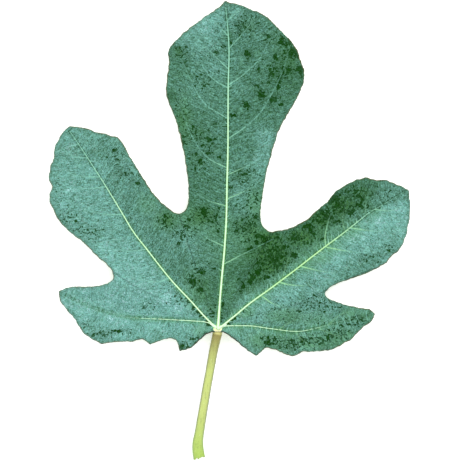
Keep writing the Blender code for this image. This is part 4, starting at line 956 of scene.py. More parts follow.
class Plan:
    """The leaf's lines seen from above, and the heights of its two faces over any place in it."""

    def __init__(self):
        self.outline = self.draw_outline()
        self.edge = Lines([self.outline], closed=True)
        self.ribs = [smooth_through(rib, OUTLINE_POINT_STEP) for rib in MAIN_RIBS]
        self.side_ribs = [smooth_through(rib, OUTLINE_POINT_STEP) for rib in SIDE_RIBS]
        self.rib_lines = [Lines([rib]) for rib in self.ribs]
        self.side_lines = Lines(self.side_ribs)
        self.main_lines = Lines(self.ribs)
        faint = [rib[0] in FAINT_SIDE_RIBS for rib in SIDE_RIBS]
        self.side_shown = np.where(faint, FAINT_SIDE_RIB, 1.0)
        tips = sorted((math.atan2(rib[-1][1], rib[-1][0]), rib[-1]) for rib in MAIN_RIBS)
        self.lobe_turns = [turn for turn, tip in tips]
        self.lobe_lengths = [math.hypot(*tip) for turn, tip in tips]
        self.lobe_lows = [self.tip_height(tip) for turn, tip in tips]
        self.cross_veins = self.draw_cross_veins()
        self.cross_lines = Lines(self.cross_veins)

    def draw_outline(self):
        """Return the closed outline, a little uneven everywhere but at the joint's flat edge."""
        runs = []
        for run in EDGE_RUNS:
            line = smooth_through(run, OUTLINE_POINT_STEP)
            outward = -left_of(headings(line))
            from_joint = np.hypot(line[:, 0], line[:, 1])
            uneven = two_noises(line, UNEVEN_SIZES, UNEVEN_LAYERS)
            uneven *= UNEVEN_EDGE * np.clip(from_joint / UNEVEN_RISE - EVEN_AT_JOINT, 0.0, 1.0)
            runs.append((line + outward * uneven[:, None])[:-1])
        return np.concatenate(runs)

    def tip_height(self, tip):
        """Return how low a lobe comes down: its rib lies on the surface only at a rest spot."""
        rests = any(math.dist(tip, spot) < TIP_TO_REST for spot in REST_SPOTS)
        return HEIGHT_AT_REST if rests else HEIGHT_AT_FREE_TIP

    def draw_cross_veins(self):
        """Return the finer veins: each leaves a rib nearly square and ends on the next vein it meets."""
        chance = random.Random(SEED)
        parents = self.ribs + self.side_ribs
        stops = Lines(parents)
        drawn = np.zeros((0, 2))
        veins = []
        for number, parent in enumerate(parents):
            along = headings(parent)
            gap = CROSS_VEIN_GAP * (CROSS_VEIN_DENSER_ON_RIBS if number < len(self.ribs) else 1.0)
            place = gap * chance.uniform(*CROSS_VEIN_START)
            while place < OUTLINE_POINT_STEP * (len(parent) - 1):
                index = int(place / OUTLINE_POINT_STEP)
                place += gap * chance.uniform(*CROSS_VEIN_SPREAD)
                for side in (-1.0, 1.0):
                    lean = side * chance.uniform(*CROSS_VEIN_LEAN)
                    heading = math.atan2(along[index][1], along[index][0]) + lean
                    vein = self.follow_vein(parent[index], heading, number, stops, drawn, chance)
                    if len(vein) >= CROSS_VEIN_FEWEST_POINTS:
                        veins.append(vein)
                        drawn = np.concatenate([drawn, vein])
        return veins

    def draw_spurs(self):
        """Return the short pale veins close beside the three large ribs, and the rib that each leaves."""
        chance = random.Random(SPUR_SEED)
        spurs = []
        for number, (gap, reach) in enumerate(zip(SPUR_GAPS, SPUR_REACHES)):
            rib = self.ribs[number]
            along = headings(rib)
            place = SPURS_START
            while place < SPURS_END * OUTLINE_POINT_STEP * (len(rib) - 1):
                index = int(place / OUTLINE_POINT_STEP)
                place += gap * chance.uniform(*SPUR_SPREAD)
                side = chance.choice((-1.0, 1.0))
                turn = math.atan2(along[index][1], along[index][0]) + side * chance.uniform(*SPUR_LEAN)
                turns = turn - side * chance.uniform(*SPUR_BEND) * np.linspace(0.0, 1.0, SPUR_POINTS)
                step = reach * chance.uniform(*SPUR_LENGTHS) / (SPUR_POINTS - 1)
                steps = step * np.stack([np.cos(turns), np.sin(turns)], axis=1)
                spurs.append((number, rib[index] + np.cumsum(steps, axis=0) - steps[0]))
        return spurs

    def follow_vein(self, start, heading, parent, stops, drawn, chance):
        """Return one fine vein's points, walked from its rib until it meets another vein or the edge."""
        here = np.array(start, dtype=float)
        points = [here]
        bend = 0.0
        for step in range(int(CROSS_VEIN_LONGEST / CROSS_VEIN_STEP)):
            bend = CROSS_VEIN_STEADY * bend + chance.uniform(-CROSS_VEIN_WANDER, CROSS_VEIN_WANDER)
            heading += bend
            here = here + CROSS_VEIN_STEP * np.array([math.cos(heading), math.sin(heading)])
            edge = self.edge.tree.find((here[0], here[1], 0.0))[2]
            if edge < END_AT_EDGE or not inside(here[None, :], self.outline[::OUTLINE_SKIP])[0]:
                break
            points.append(here)
            near = stops.tree.find((here[0], here[1], 0.0))
            if near[2] < END_AT_RIB and (stops.owners[near[1]] != parent or step > STEPS_OFF_OWN_RIB):
                break
            if len(drawn) and np.min(np.sum((drawn - here) ** 2, axis=1)) < END_AT_VEIN**2 and step > 1:
                break
        return np.array(points)

    def fields(self, points):
        """Return the distances and the relief that the heights and the finish need."""
        near = {"edge": self.edge.nearest(points)[0]}
        near["side"], segment = self.side_lines.nearest(points)
        owner = self.side_lines.owners[segment]
        lengths = np.array([OUTLINE_POINT_STEP * (len(rib) - 1) for rib in self.side_ribs])
        part = self.side_lines.places[segment] / lengths[owner]
        near["side_shown"] = self.side_shown[owner] * (1.0 - SIDE_RIB_DIMS * np.clip(part, 0.0, 1.0))
        near["cross"] = self.cross_lines.nearest(points)[0]
        rib = np.full(len(points), FAR)
        relief = np.zeros(len(points))
        for line, rib_lines in zip(self.ribs, self.rib_lines):
            away = rib_lines.nearest(points)[0]
            length = np.linalg.norm(line[-1] - line[0])
            along = np.clip(np.linalg.norm(points - line[0], axis=1) / length, 0.0, 1.0)
            width = RIB_HALF_WIDTH_AT_JOINT + (RIB_HALF_WIDTH_AT_TIP - RIB_HALF_WIDTH_AT_JOINT) * along
            depth = RIB_DEPTH_AT_JOINT + (RIB_DEPTH_AT_TIP - RIB_DEPTH_AT_JOINT) * along
            relief = np.maximum(relief, depth * np.clip(1.0 - (away / width) ** 2, 0.0, 1.0))
            rib = np.minimum(rib, away)
        near["rib"] = rib
        near["rib_relief"] = relief
        return near

    def finish_values(self, points, near):
        """Return what the upper face's finish reads at each point."""
        x = points[:, 0]
        y = points[:, 1]
        values = {key + "_away": near[key] for key in ("rib", "side", "cross", "edge")}
        values["side_shown"] = near["side_shown"]
        along, away = self.main_lines.along_and_away(points)
        values["vein_along"] = along - VEIN_LEAN * np.abs(away)
        values["vein_away"] = away
        values["bloom"] = soft_blend(points, BLOOM_AND_SHEEN_PLACES)
        values["bare"] = soft_spots(points, BARE_PLACES)
        values["dots"] = soft_spots(points, DOTTED_PLACES)
        values["lush"] = soft_spots(points, LUSH_PLACES)
        values["rib_glow"] = np.clip(RIB_GLOW_AT_JOINT - np.hypot(x, y) / RIB_GLOW_REACH, 0.0, 1.0)
        values["notch"] = np.exp(-(((x - NOTCH_MIDDLE) / NOTCH_REACH) ** 4)) * (y < NOTCH_TOP)
        warm = np.clip(WARM_AT_JOINT + x / WARM_RISE, WARM_LEAST, 1.0)
        for place, (end, reach, least) in ((x, RIGHT_TIP_COOLER), (y, TOP_COOLER)):
            warm = warm * np.clip((end - place) / reach, least, 1.0)
        values["side_warm"] = warm
        return values

    def sheet(self, points, near):
        """Return the smooth sheet's height: arched ribs, valleys at the ribs and waves at the edge."""
        x = points[:, 0]
        y = points[:, 1]
        joint = np.hypot(x, y)
        turn = np.arctan2(y, x)
        turn = np.where(turn < -0.5 * math.pi, turn + 2.0 * math.pi, turn)
        reach = joint / np.interp(turn, self.lobe_turns, self.lobe_lengths)
        low = np.interp(turn, self.lobe_turns, self.lobe_lows)
        base = low + (HEIGHT_AT_JOINT - low) * (0.5 + 0.5 * np.cos(math.pi * reach / TURN_UP))
        panel = PANEL_RISE * np.tanh(near["rib"] / PANEL_REACH)
        droop = EDGE_DROOP * np.exp(-near["edge"] / EDGE_DROOP_REACH)
        wave = sum(np.sin(x / along_x + y / along_y + shift) for along_x, along_y, shift in EDGE_WAVES)
        wave = wave * np.exp(-near["edge"] / WAVE_REACH) * np.clip(joint / WAVES_START, 0.0, 1.0)
        wave = WAVE_HEIGHT * wave / len(EDGE_WAVES)
        swell = np.sin(x / SWELL_ALONG_X[0] + SWELL_ALONG_X[1])
        swell = SWELL_HEIGHT * swell * np.cos(y / SWELL_ALONG_Y[0] + SWELL_ALONG_Y[1])
        sheet = base + panel - droop + wave + swell
        sheet = LOWEST_TOP + FLOOR_SOFTNESS * np.logaddexp(0.0, (sheet - LOWEST_TOP) / FLOOR_SOFTNESS)
        for spot in REST_SPOTS:
            away = np.hypot(x - spot[0], y - spot[1])
            sheet = sheet + (BLADE_THICKNESS - sheet) * np.exp(-((away / REST_REACH) ** 4))
        return sheet

    def heights(self, points, near):
        """Return the heights of the upper face and of the underside."""
        joint = np.hypot(points[:, 0], points[:, 1])
        side_groove = SIDE_VALLEY_DEPTH * np.exp(-((near["side"] / SIDE_VALLEY_REACH) ** 2))
        rib_groove = RIB_GROOVE * np.exp(-((near["rib"] / RIB_GROOVE_REACH) ** 2))
        sheet = self.sheet(points, near) - side_groove - rib_groove
        vein = np.minimum(np.minimum(near["cross"], near["side"]), near["rib"])
        off_edge = np.clip(near["edge"] / RELIEF_FADE, 0.0, 1.0)
        quilt = QUILT_HEIGHT * (1.0 - np.exp(-((vein / QUILT_REACH) ** 2))) * off_edge
        crinkle = two_noises(points, CRINKLE_SIZES, CRINKLE_LAYERS)
        cross = np.exp(-((near["cross"] / CROSS_VEIN_REACH) ** 2)) * off_edge
        top = sheet + quilt - CROSS_VEIN_GROOVE * cross + CRINKLE_HEIGHT * crinkle
        side_relief = SIDE_RIB_DEPTH * np.exp(-((near["side"] / SIDE_RIB_REACH) ** 2))
        side_relief = side_relief * np.clip(near["edge"] / SIDE_RIB_FADE, SIDE_RIB_LEFT_AT_EDGE, 1.0)
        boss = JOINT_BOSS_DEPTH * np.exp(-((joint / JOINT_BOSS_REACH) ** 2))
        relief = np.maximum(np.maximum(near["rib_relief"], side_relief), CROSS_VEIN_RIDGE * cross)
        taper = np.clip(near["edge"] / EDGE_TAPER, 0.0, 1.0)
        thickness = EDGE_THICKNESS + (BLADE_THICKNESS - EDGE_THICKNESS) * taper * (2.0 - taper)
        under = np.maximum(sheet + QUILT_UNDERNEATH * quilt - thickness - relief - boss, 0.0)
        top = np.maximum(top, under + THINNEST_PART * thickness)
        return top, under


@functools.cache
def leaf_plan():
    """Return the one plan that every piece is drawn on."""
    return Plan()


def in_frame(points, heights):
    """Return plan points in millimetres as points in the packed model's frame, in metres."""
    placed = np.zeros((len(points), 3))
    placed[:, 0] = points[:, 0] * MM + JOINT_X
    placed[:, 1] = points[:, 1] * MM + JOINT_Y
    placed[:, 2] = heights * MM
    return placed


def add_piece(name, vertices, faces, material, values=None, face_materials=None):
    """Link a mesh to the scene as one smooth piece that rides with the leaf."""
    mesh = bpy.data.meshes.new(name)
    mesh.from_pydata(vertices, [], faces)
    for key, numbers in (values or {}).items():
        layer = mesh.attributes.new(key, "FLOAT", "POINT")
        layer.data.foreach_set("value", np.asarray(numbers, dtype=np.float32))
    for item in material if isinstance(material, list) else [material]:
        mesh.materials.append(item)
    if face_materials is not None:
        mesh.polygons.foreach_set("material_index", np.asarray(face_materials, dtype=np.int32))
    mesh.update()
    mesh.shade_smooth()
    piece = bpy.data.objects.new(name, mesh)
    bpy.context.scene.collection.objects.link(piece)
    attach(piece, "root")
    return piece


def soft_spots(points, places):
    """Return the strongest of many soft spots at each point."""
    strongest = np.zeros(len(points))
    for x, y, reach_x, reach_y, strength in places:
        far = ((points[:, 0] - x) / reach_x) ** 2 + ((points[:, 1] - y) / reach_y) ** 2
        strongest = np.maximum(strongest, strength * np.exp(-SPOT_FALL * far**SPOT_SHARPNESS))
    return strongest


def soft_blend(points, places):
    """Return the levels of many places, blended smoothly between them."""
    total = np.full(len(points), NEXT_TO_NOTHING)
    level = np.zeros(len(points))
    for x, y, reach, strength in places:
        far = ((points[:, 0] - x) ** 2 + (points[:, 1] - y) ** 2) / reach**2
        weight = 1.0 / (BLEND_EVENNESS + far**2)
        total += weight
        level += weight * strength
    return level / total


def face_triangles(plan, step, lines):
    """Return points and triangles over the whole blade that follow the given lines."""
    row_step = step * math.sqrt(0.75)
    low = plan.outline.min(axis=0)
    high = plan.outline.max(axis=0)
    rows = []
    for number, y in enumerate(np.arange(low[1], high[1], row_step)):
        xs = np.arange(low[0], high[0], step) + 0.5 * step * (number % 2)
        rows.append(np.stack([xs, np.full(len(xs), y)], axis=1))
    grid = np.concatenate(rows)
    parts = np.array_split(grid, INSIDE_TEST_PARTS)
    grid = grid[np.concatenate([inside(part, plan.outline) for part in parts])]
    grid = grid[plan.edge.nearest(grid)[0] > GRID_CLEAR_OF_EDGE * step]
    apart = LINES_CLEAR_OF_EACH_OTHER * step
    followed = []
    taken = None
    for line in lines:
        clear = plan.edge.nearest(line)[0] > apart
        if taken is not None:
            clear &= np.array([taken.find((x, y, 0.0))[2] > apart for x, y in line])
        followed.append((line, clear))
        if clear.any():
            taken = tree_of(np.concatenate([part[mask] for part, mask in followed]))
    points = [Vector(point) for point in plan.outline]
    edges = []
    for line, clear in followed:
        last = None
        for point, free in zip(line, clear):
            if free:
                points.append(Vector(point))
                if last is not None:
                    edges.append((last, len(points) - 1))
                last = len(points) - 1
            else:
                last = None
    if taken is not None:
        grid = grid[np.array([taken.find((x, y, 0.0))[2] > CLEAR_OF_LINES for x, y in grid])]
    points.extend(Vector(point) for point in grid)
    result = delaunay_2d_cdt(points, edges, [list(range(len(plan.outline)))], 1, MERGE_DISTANCE)
    flat = np.array([tuple(point) for point in result[0]])
    triangles = np.array([list(face) for face in result[2]])
    first, second, third = (flat[triangles[:, corner]] for corner in range(3))
    along = second - first
    across = third - first
    turn = along[:, 0] * across[:, 1] - along[:, 1] * across[:, 0]
    triangles[turn < 0.0] = triangles[turn < 0.0][:, ::-1]
    return flat, triangles


def upper_material(look):
    """Return the upper face's finish: deep green under a blue-green bloom and painted sheen, fine veins and
    specks.
    """
    graph = Graph("bloomed_leaf_green")
    place = graph.place()
    rib, side, cross, edge = (graph.attribute(line + "_away") for line in ("rib", "side", "cross", "edge"))
    bloom, bare, dots, notch = (graph.attribute(name) for name in ("bloom", "bare", "dots", "notch"))

    # The patterns, from the broadest to the finest
    broad = graph.noise(place, 12.0, 3.0)
    blotch = graph.noise(place, 3.4, 3.0, 0.45, 0.8)
    mottle = graph.noise(place, 1.7, 4.0, 0.62, 0.4)
    fine = graph.noise(place, 0.85, 2.0, 0.6, 0.3)
    tiny = graph.noise(place, 0.6, 1.0)
    streak = graph.noise(graph.along_veins(0.65, 2.8), 1.0, 2.0, 0.5, 0.8)
    crisp = graph.ramp(streak, 0.41, 0.59)
    thread = graph.line(graph.noise(graph.along_veins(2.4, 13.0), 1.0, 1.0, 0.5, 0.25) - 0.5, 0.025, 0.55)
    warped = graph.warp(place, 2.2, 1.3)
    net = graph.cells(warped, 1.8)
    pale_stroke = graph.line(graph.noise(warped, 1.6, 1.0, 0.5) - 0.5, 0.045, 0.7)
    dark_stroke = graph.line(graph.noise(warped, 1.9, 1.0, 0.5) - 0.44, 0.045, 0.8)
    pale_line = graph.mix(graph.ramp(bloom, 0.1, 0.65), look.dark_vein, look.vein_green)
    vein_to_glint = graph.mix(graph.ramp(bloom, 0.1, 1.1), look.dark_vein, look.glint)

    # The bloom with its painted sheen, from bare green to full, grainy at every size, and a painted glint
    # where it is fullest
    grainy = (mottle - 0.5) * 0.2 + (fine - 0.5) * 1.05 + (tiny - 0.5) * 1.45 + (crisp - 0.5) * 0.4
    level = bloom - 0.04 + (broad - 0.5) * 0.2 + grainy
    colour = graph.mix(graph.ramp(level, -0.5, 0.45), look.bare_green, look.thin_bloom_and_sheen)
    colour = graph.mix(graph.ramp(level, 0.1, 1.2), colour, look.pale_bloom_and_sheen)
    colour = graph.mix(graph.ramp(level, 1.15, 1.9), colour, look.glint)

    # The finest net, threads along the veins, and short dark and pale strokes, the pale ones a painted glint
    # where the bloom is full
    broken = graph.ramp(mottle + bloom * 0.12, 0.42, 0.62)
    net_lines = graph.ramp(net, 0.03, 0.13, 0.4, 0.0) * broken
    colour = graph.mix(net_lines, colour, pale_line)
    colour = graph.mix(thread * graph.ramp(mottle, 0.35, 0.55), colour, pale_line)
    stroked = graph.most(graph.ramp(blotch, 0.32, 0.6, 0.2, 0.9), dots * 1.3)
    colour = graph.mix(dark_stroke * graph.least(stroked, 1.0), colour, look.thin_bloom_and_sheen)
    pale_strokes = pale_stroke * graph.ramp(blotch, 0.36, 0.66, 0.9, 0.2)
    colour = graph.mix(pale_strokes * graph.ramp(bloom, 0.8, 1.15, 0.8, 1.6), colour, vein_to_glint)

    # The fresher greens
    lush = graph.attribute("lush") * graph.ramp(level, 0.0, 1.0, 0.2, 0.48)
    colour = graph.mix(lush, colour, look.lush_green)
    green_band = graph.ramp(rib, 0.5, 2.2, 0.5, 0.0) * graph.ramp(blotch, 0.3, 0.55, 0.4, 1.0)
    colour = graph.mix(green_band * graph.attribute("rib_glow"), colour, look.rib_green)
    dotted_zone = graph.ramp(dots, 0.38, 0.82) * graph.ramp(bloom, 0.15, 0.6, 0.85, 0.1)
    dotted_zone = dotted_zone * graph.ramp(tiny + (fine - 0.5) * 0.7, 0.3, 0.7, 1.1, 0.7)
    colour = graph.mix(dotted_zone, colour, look.dotted_zone_green)

    # The specks and patches with neither bloom nor painted sheen, and their pale rims
    thin = graph.ramp(bloom, 0.2, 0.7, 0.1, 0.0) + bare
    colour = graph.mix(bare * 0.3, colour, look.bare_green)
    dot = graph.noise(warped, 1.5, 1.0, 0.5) - 0.5
    patchy = thin + (blotch - 0.5) * 1.8 + dot * 1.3
    small_dot = graph.noise(warped, 0.95, 1.0, 0.5) - 0.5
    dotty = graph.most(thin * 0.8, dots) + dot * 1.6 + small_dot * 2.1 + (mottle - 0.5) * 0.8
    rims = graph.ramp(graph.most(patchy, dotty), 0.5, 0.68) * graph.ramp(patchy, 0.68, 0.76, 0.4, 0.0)
    colour = graph.mix(rims, colour, pale_line)
    speck = graph.most(graph.ramp(patchy, 0.72, 0.77), graph.ramp(dotty, 0.68, 0.75))
    pierced = graph.ramp(fine + (tiny - 0.5) * 0.6, 0.5, 0.62)
    speck = speck * (1.0 - pierced * graph.ramp(dots, 0.5, 0.85, 0.08, 0.5))
    colour = graph.mix(speck, colour, look.bare_green)
    colour = graph.mix(net_lines * speck * 0.3, colour, pale_line)

    # Beside the ribs a painted shadow in their creases, then along the finer veins and along the side ribs
    rib_crease_shade = graph.ramp(rib, 0.5, 1.4, 0.5, 0.0) * graph.ramp(level, 0.2, 1.2, 1.0, 0.35)
    colour = graph.mix(rib_crease_shade, colour, look.bare_green)
    cross_line = graph.ramp(cross, 0.1, 0.36, 1.0, 0.0) * graph.ramp(rib, 0.4, 5.0, 0.7, 0.12)
    colour = graph.mix(cross_line * graph.ramp(mottle, 0.3, 0.55), colour, pale_line)
    near_rib = graph.ramp(rib, 1.5, 15.0, 1.0, 0.0) * graph.attribute("side_warm")
    side_line = graph.ramp(side - near_rib * 0.04, 0.12, 0.42, 1.0, 0.0) * graph.attribute("side_shown")
    unbroken = graph.ramp(rib, 3.0, 15.0, 1.0, 0.0)
    side_line = side_line * graph.most(graph.ramp(mottle, 0.38, 0.56, 0.35, 0.95), unbroken)
    side_colour = graph.mix(graph.ramp(bloom, -0.35, 0.6), look.dark_vein, look.vein_green)
    side_colour = graph.mix(near_rib, side_colour, look.side_green)
    colour = graph.mix(side_line, colour, side_colour)

    # The blade's edge: a band of painted shade inside it, and a brown rim line, a dry edge with a painted
    # shadow line that is darkest beside the stalk
    edge_shade = graph.ramp(edge, 0.4, 2.2, 0.3, 0.0)
    colour = graph.mix(edge_shade, colour, look.thin_bloom_and_sheen)
    edge_line = graph.ramp(edge, 0.1, 0.55, 0.75, 0.0) * graph.ramp(broad, 0.35, 0.6, 0.35, 1.0)
    edge_colour = graph.mix(notch, look.edge_brown_and_shadow, look.notch_edge_shade)
    edge_line = graph.most(edge_line, notch * graph.ramp(edge, 0.3, 0.75, 0.85, 0.0))
    colour = graph.mix(edge_line, colour, edge_colour)

    grain = graph.ramp(net, 0.0, 0.3) * 0.5 + fine * 0.3 + tiny * 0.2 + streak - speck * 0.25
    roughness = look.roughness - speck * 0.12 + (fine - 0.5) * 0.12
    return graph.finish(
        Base_Color=colour,
        Roughness=roughness,
        Normal=graph.bump(grain, 0.9, 1.0),
        Specular_IOR_Level=0.06,
    )


def under_material(look):
    """Return the underside's finish: pale grey-green, with a paler raised net."""
    graph = Graph("pale_leaf_underside")
    place = graph.place()
    rib, side, cross = (graph.attribute(line + "_away") for line in ("rib", "side", "cross"))
    mottle = graph.noise(place, 3.0, 4.0)
    fine = graph.noise(place, 0.7, 3.0)
    net = graph.cells(place, 1.25)
    shade = darker(look.under_green, 0.72)
    colour = graph.mix(graph.ramp(mottle + (fine - 0.5) * 0.6, 0.25, 0.75), shade, look.under_green)
    lines = graph.ramp(net, 0.03, 0.18, 0.55, 0.0)
    for away, near, far, strength in ((cross, 0.2, 0.8, 0.75), (side, 0.3, 1.2, 0.95), (rib, 0.8, 2.2, 1.0)):
        lines = graph.most(lines, graph.ramp(away, near, far, strength, 0.0))
    colour = graph.mix(lines, colour, look.under_vein)
    grain = lines * 0.7 + fine * 0.4
    return graph.finish(
        Base_Color=colour,
        Roughness=0.66 + (fine - 0.5) * 0.12,
        Normal=graph.bump(grain, 0.18, 0.8),
        Specular_IOR_Level=0.3,
    )


def rib_material(look):
    """Return the ribs' finish: cream to white at the joint, cooler to the tips, with green flanks."""
    graph = Graph("pale_rib")
    place = graph.place()
    along = graph.attribute("along")
    flank = graph.attribute("flank")
    fine = graph.noise(place, 0.8, 3.0)
    streak = graph.noise(graph.place((1.0, 0.25, 1.0)), 0.6, 2.0)
    colour = graph.mix(graph.ramp(along, -0.3, -0.03), look.cream, look.joint_colour)
    colour = graph.mix(graph.ramp(along, 0.02, 0.5), colour, look.middle_colour)
    warm = graph.ramp(along, 0.08, 0.4) * graph.attribute("warm")
    colour = graph.mix(warm, colour, look.yellow_green)
    colour = graph.mix(graph.ramp(along, 0.5, 1.0), colour, look.tip_colour)
    colour = graph.mix(graph.ramp(along, 1.0, 1.3), colour, look.faded)
    green = graph.ramp(flank + (fine - 0.5) * 0.5, 0.2, 0.85, 0.0, 0.95)
    colour = graph.mix(green * graph.ramp(along, 0.3, 1.0, 1.0, 0.2), colour, look.flank)
    colour = graph.mix(graph.ramp(streak + (fine - 0.5) * 0.4, 0.55, 0.8) * 0.3, colour, look.flank)
    return graph.finish(
        Base_Color=colour,
        Roughness=0.5 + (fine - 0.5) * 0.2,
        Normal=graph.bump(streak * 0.6 + fine * 0.4, 0.06, 0.6),
        Specular_IOR_Level=0.35,
    )


def stalk_material(look):
    """Return the stalk's finish: olive at the joint, pale yellow-green along it, greener at its end, with
    painted shade on its flanks.
    """
    graph = Graph("stalk_yellow_green")
    place = graph.place()
    along = graph.attribute("along")
    crown = graph.attribute("crown")
    face = graph.attribute("cut_face")
    streak = graph.noise(graph.place((1.0, 0.12, 1.0)), 0.7, 4.0)
    fine = graph.noise(place, 0.8, 3.0)
    warts = graph.cells(place, 2.4, "F1")
    # Painted light and shade: the stalk's top is painted lit and pale, its flanks shaded olive
    lit = graph.ramp(crown + (streak - 0.5) * 0.3, 0.3, 0.9)
    colour = graph.mix(lit, look.shaded_side_olive, look.pale)
    top_olive = graph.ramp(along, 1.0, 21.0, 1.0, 0.0) * (0.7 + streak * 0.5)
    colour = graph.mix(graph.least(top_olive, 0.95), colour, look.olive)
    end_green = graph.ramp(along, 36.0, 66.0) * (0.3 + streak * 0.7)
    colour = graph.mix(graph.least(end_green, 0.9), colour, look.end_green)
    ring = graph.ramp(along, 0.2, 1.2) * graph.ramp(along, 1.2, 6.0, 0.55, 0.0) * (0.5 + fine)
    colour = graph.mix(graph.least(ring, 0.9), colour, look.ring)
    colour = graph.mix(graph.ramp(along, 0.1, 1.3, 0.8, 0.0), colour, look.top_cream)
    fibres = graph.ramp(streak + (fine - 0.5) * 0.5, 0.5, 0.75) * 0.4
    colour = graph.mix(fibres, colour, darker(look.shaded_side_olive, 0.7))
    colour = graph.mix(graph.ramp(warts, 0.08, 0.17, 0.3, 0.0), colour, look.cut)
    colour = graph.mix(graph.ramp(face, 0.2, 0.8), colour, look.cut)
    return graph.finish(
        Base_Color=colour,
        Roughness=0.47 + (fine - 0.5) * 0.2,
        Normal=graph.bump(streak * 0.7 + fine * 0.3, 0.12, 0.7),
        Specular_IOR_Level=0.4,
    )


def hair_material(look):
    """Return the hairs' finish."""
    graph = Graph("pale_hair")
    fine = graph.noise(graph.place(), 3.0, 2.0)
    return graph.finish(Base_Color=graph.mix(fine, darker(look.colour, 0.7), look.colour), Roughness=0.4)


class FIGLEAF_OT_make_blade(bpy.types.Operator):
    """Make the blade with its two faces, its thin edge and its fine veins"""

    bl_idname = "fig_leaf.make_blade"
    bl_label = "Make the blade"

    def execute(self, context):
        look = context.scene.fig_leaf_blade
        plan = leaf_plan()
        lines = plan.ribs + plan.side_ribs + plan.cross_veins
        top_flat, top_faces = face_triangles(plan, TOP_GRID_STEP, lines)
        under_flat, under_faces = face_triangles(plan, UNDER_GRID_STEP, plan.ribs + plan.side_ribs)
        top_near = plan.fields(top_flat)
        under_near = plan.fields(under_flat)
        top = plan.heights(top_flat, top_near)[0]
        under = plan.heights(under_flat, under_near)[1]

        rim = len(plan.outline)
        before = np.roll(plan.outline, 1, axis=0)
        after = np.roll(plan.outline, -1, axis=0)
        outward = -left_of((after - before) / np.linalg.norm(after - before, axis=1)[:, None])
        middle_flat = plan.outline + ROUNDED_EDGE * outward
        middle = 0.5 * (top[:rim] + under[:rim])
        flat = np.concatenate([top_flat, under_flat, middle_flat])
        vertices = in_frame(flat, np.concatenate([top, under, middle]))

        first_under = len(top_flat)
        first_middle = first_under + len(under_flat)
        faces = [tuple(face) for face in top_faces]
        faces += [tuple(reversed(face)) for face in (under_faces + first_under).tolist()]
        for index in range(rim):
            following = (index + 1) % rim
            for high, low in ((0, first_middle), (first_middle, first_under)):
                faces.append((high + index, low + index, low + following, high + following))
        kinds = [0] * len(top_faces) + [1] * len(under_faces) + [0] * (2 * rim)
        upper = plan.finish_values(top_flat, top_near)
        lower = plan.finish_values(under_flat, under_near)
        values = {key: np.concatenate([upper[key], lower[key], upper[key][:rim]]) for key in upper}
        materials = [upper_material(look), under_material(look)]
        blade = add_piece("fine_blade", vertices, faces, materials, values, kinds)
        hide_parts("leaf_blade")
        return {"FINISHED"}


def tube_on_blade(plan, line, half_widths, sink, flatness, sides):
    """Return the points and faces of a tapered rib half sunk into the upper face."""
    heights = plan.heights(line, plan.fields(line))[0]
    padded = np.pad(heights, SMOOTHED_POINTS // 2, mode="edge")
    heights = np.convolve(padded, np.ones(SMOOTHED_POINTS) / SMOOTHED_POINTS, mode="valid")
    vertices = []
    for point, height, half, aside in zip(line, heights, half_widths, left_of(headings(line))):
        for turn in angles(sides):
            out = aside * half * math.cos(turn)
            rise = half * flatness * math.sin(turn) - sink * half
            vertices.append((point[0] + out[0], point[1] + out[1], height + rise))
    faces = ring_faces(len(line), sides, flipped=True)
    faces.append(tuple(reversed(range(sides))))
    faces.append(tuple(range(len(vertices) - sides, len(vertices))))
    return np.array(vertices), faces


def join_parts(parts):
    """Return many meshes' points, faces and values as one."""
    vertices = []
    faces = []
    values = []
    first = 0
    for part_vertices, part_faces, part_values in parts:
        vertices.append(part_vertices)
        faces.extend(tuple(index + first for index in face) for face in part_faces)
        values.append(part_values)
        first += len(part_vertices)
    return np.concatenate(vertices), faces, np.concatenate(values)


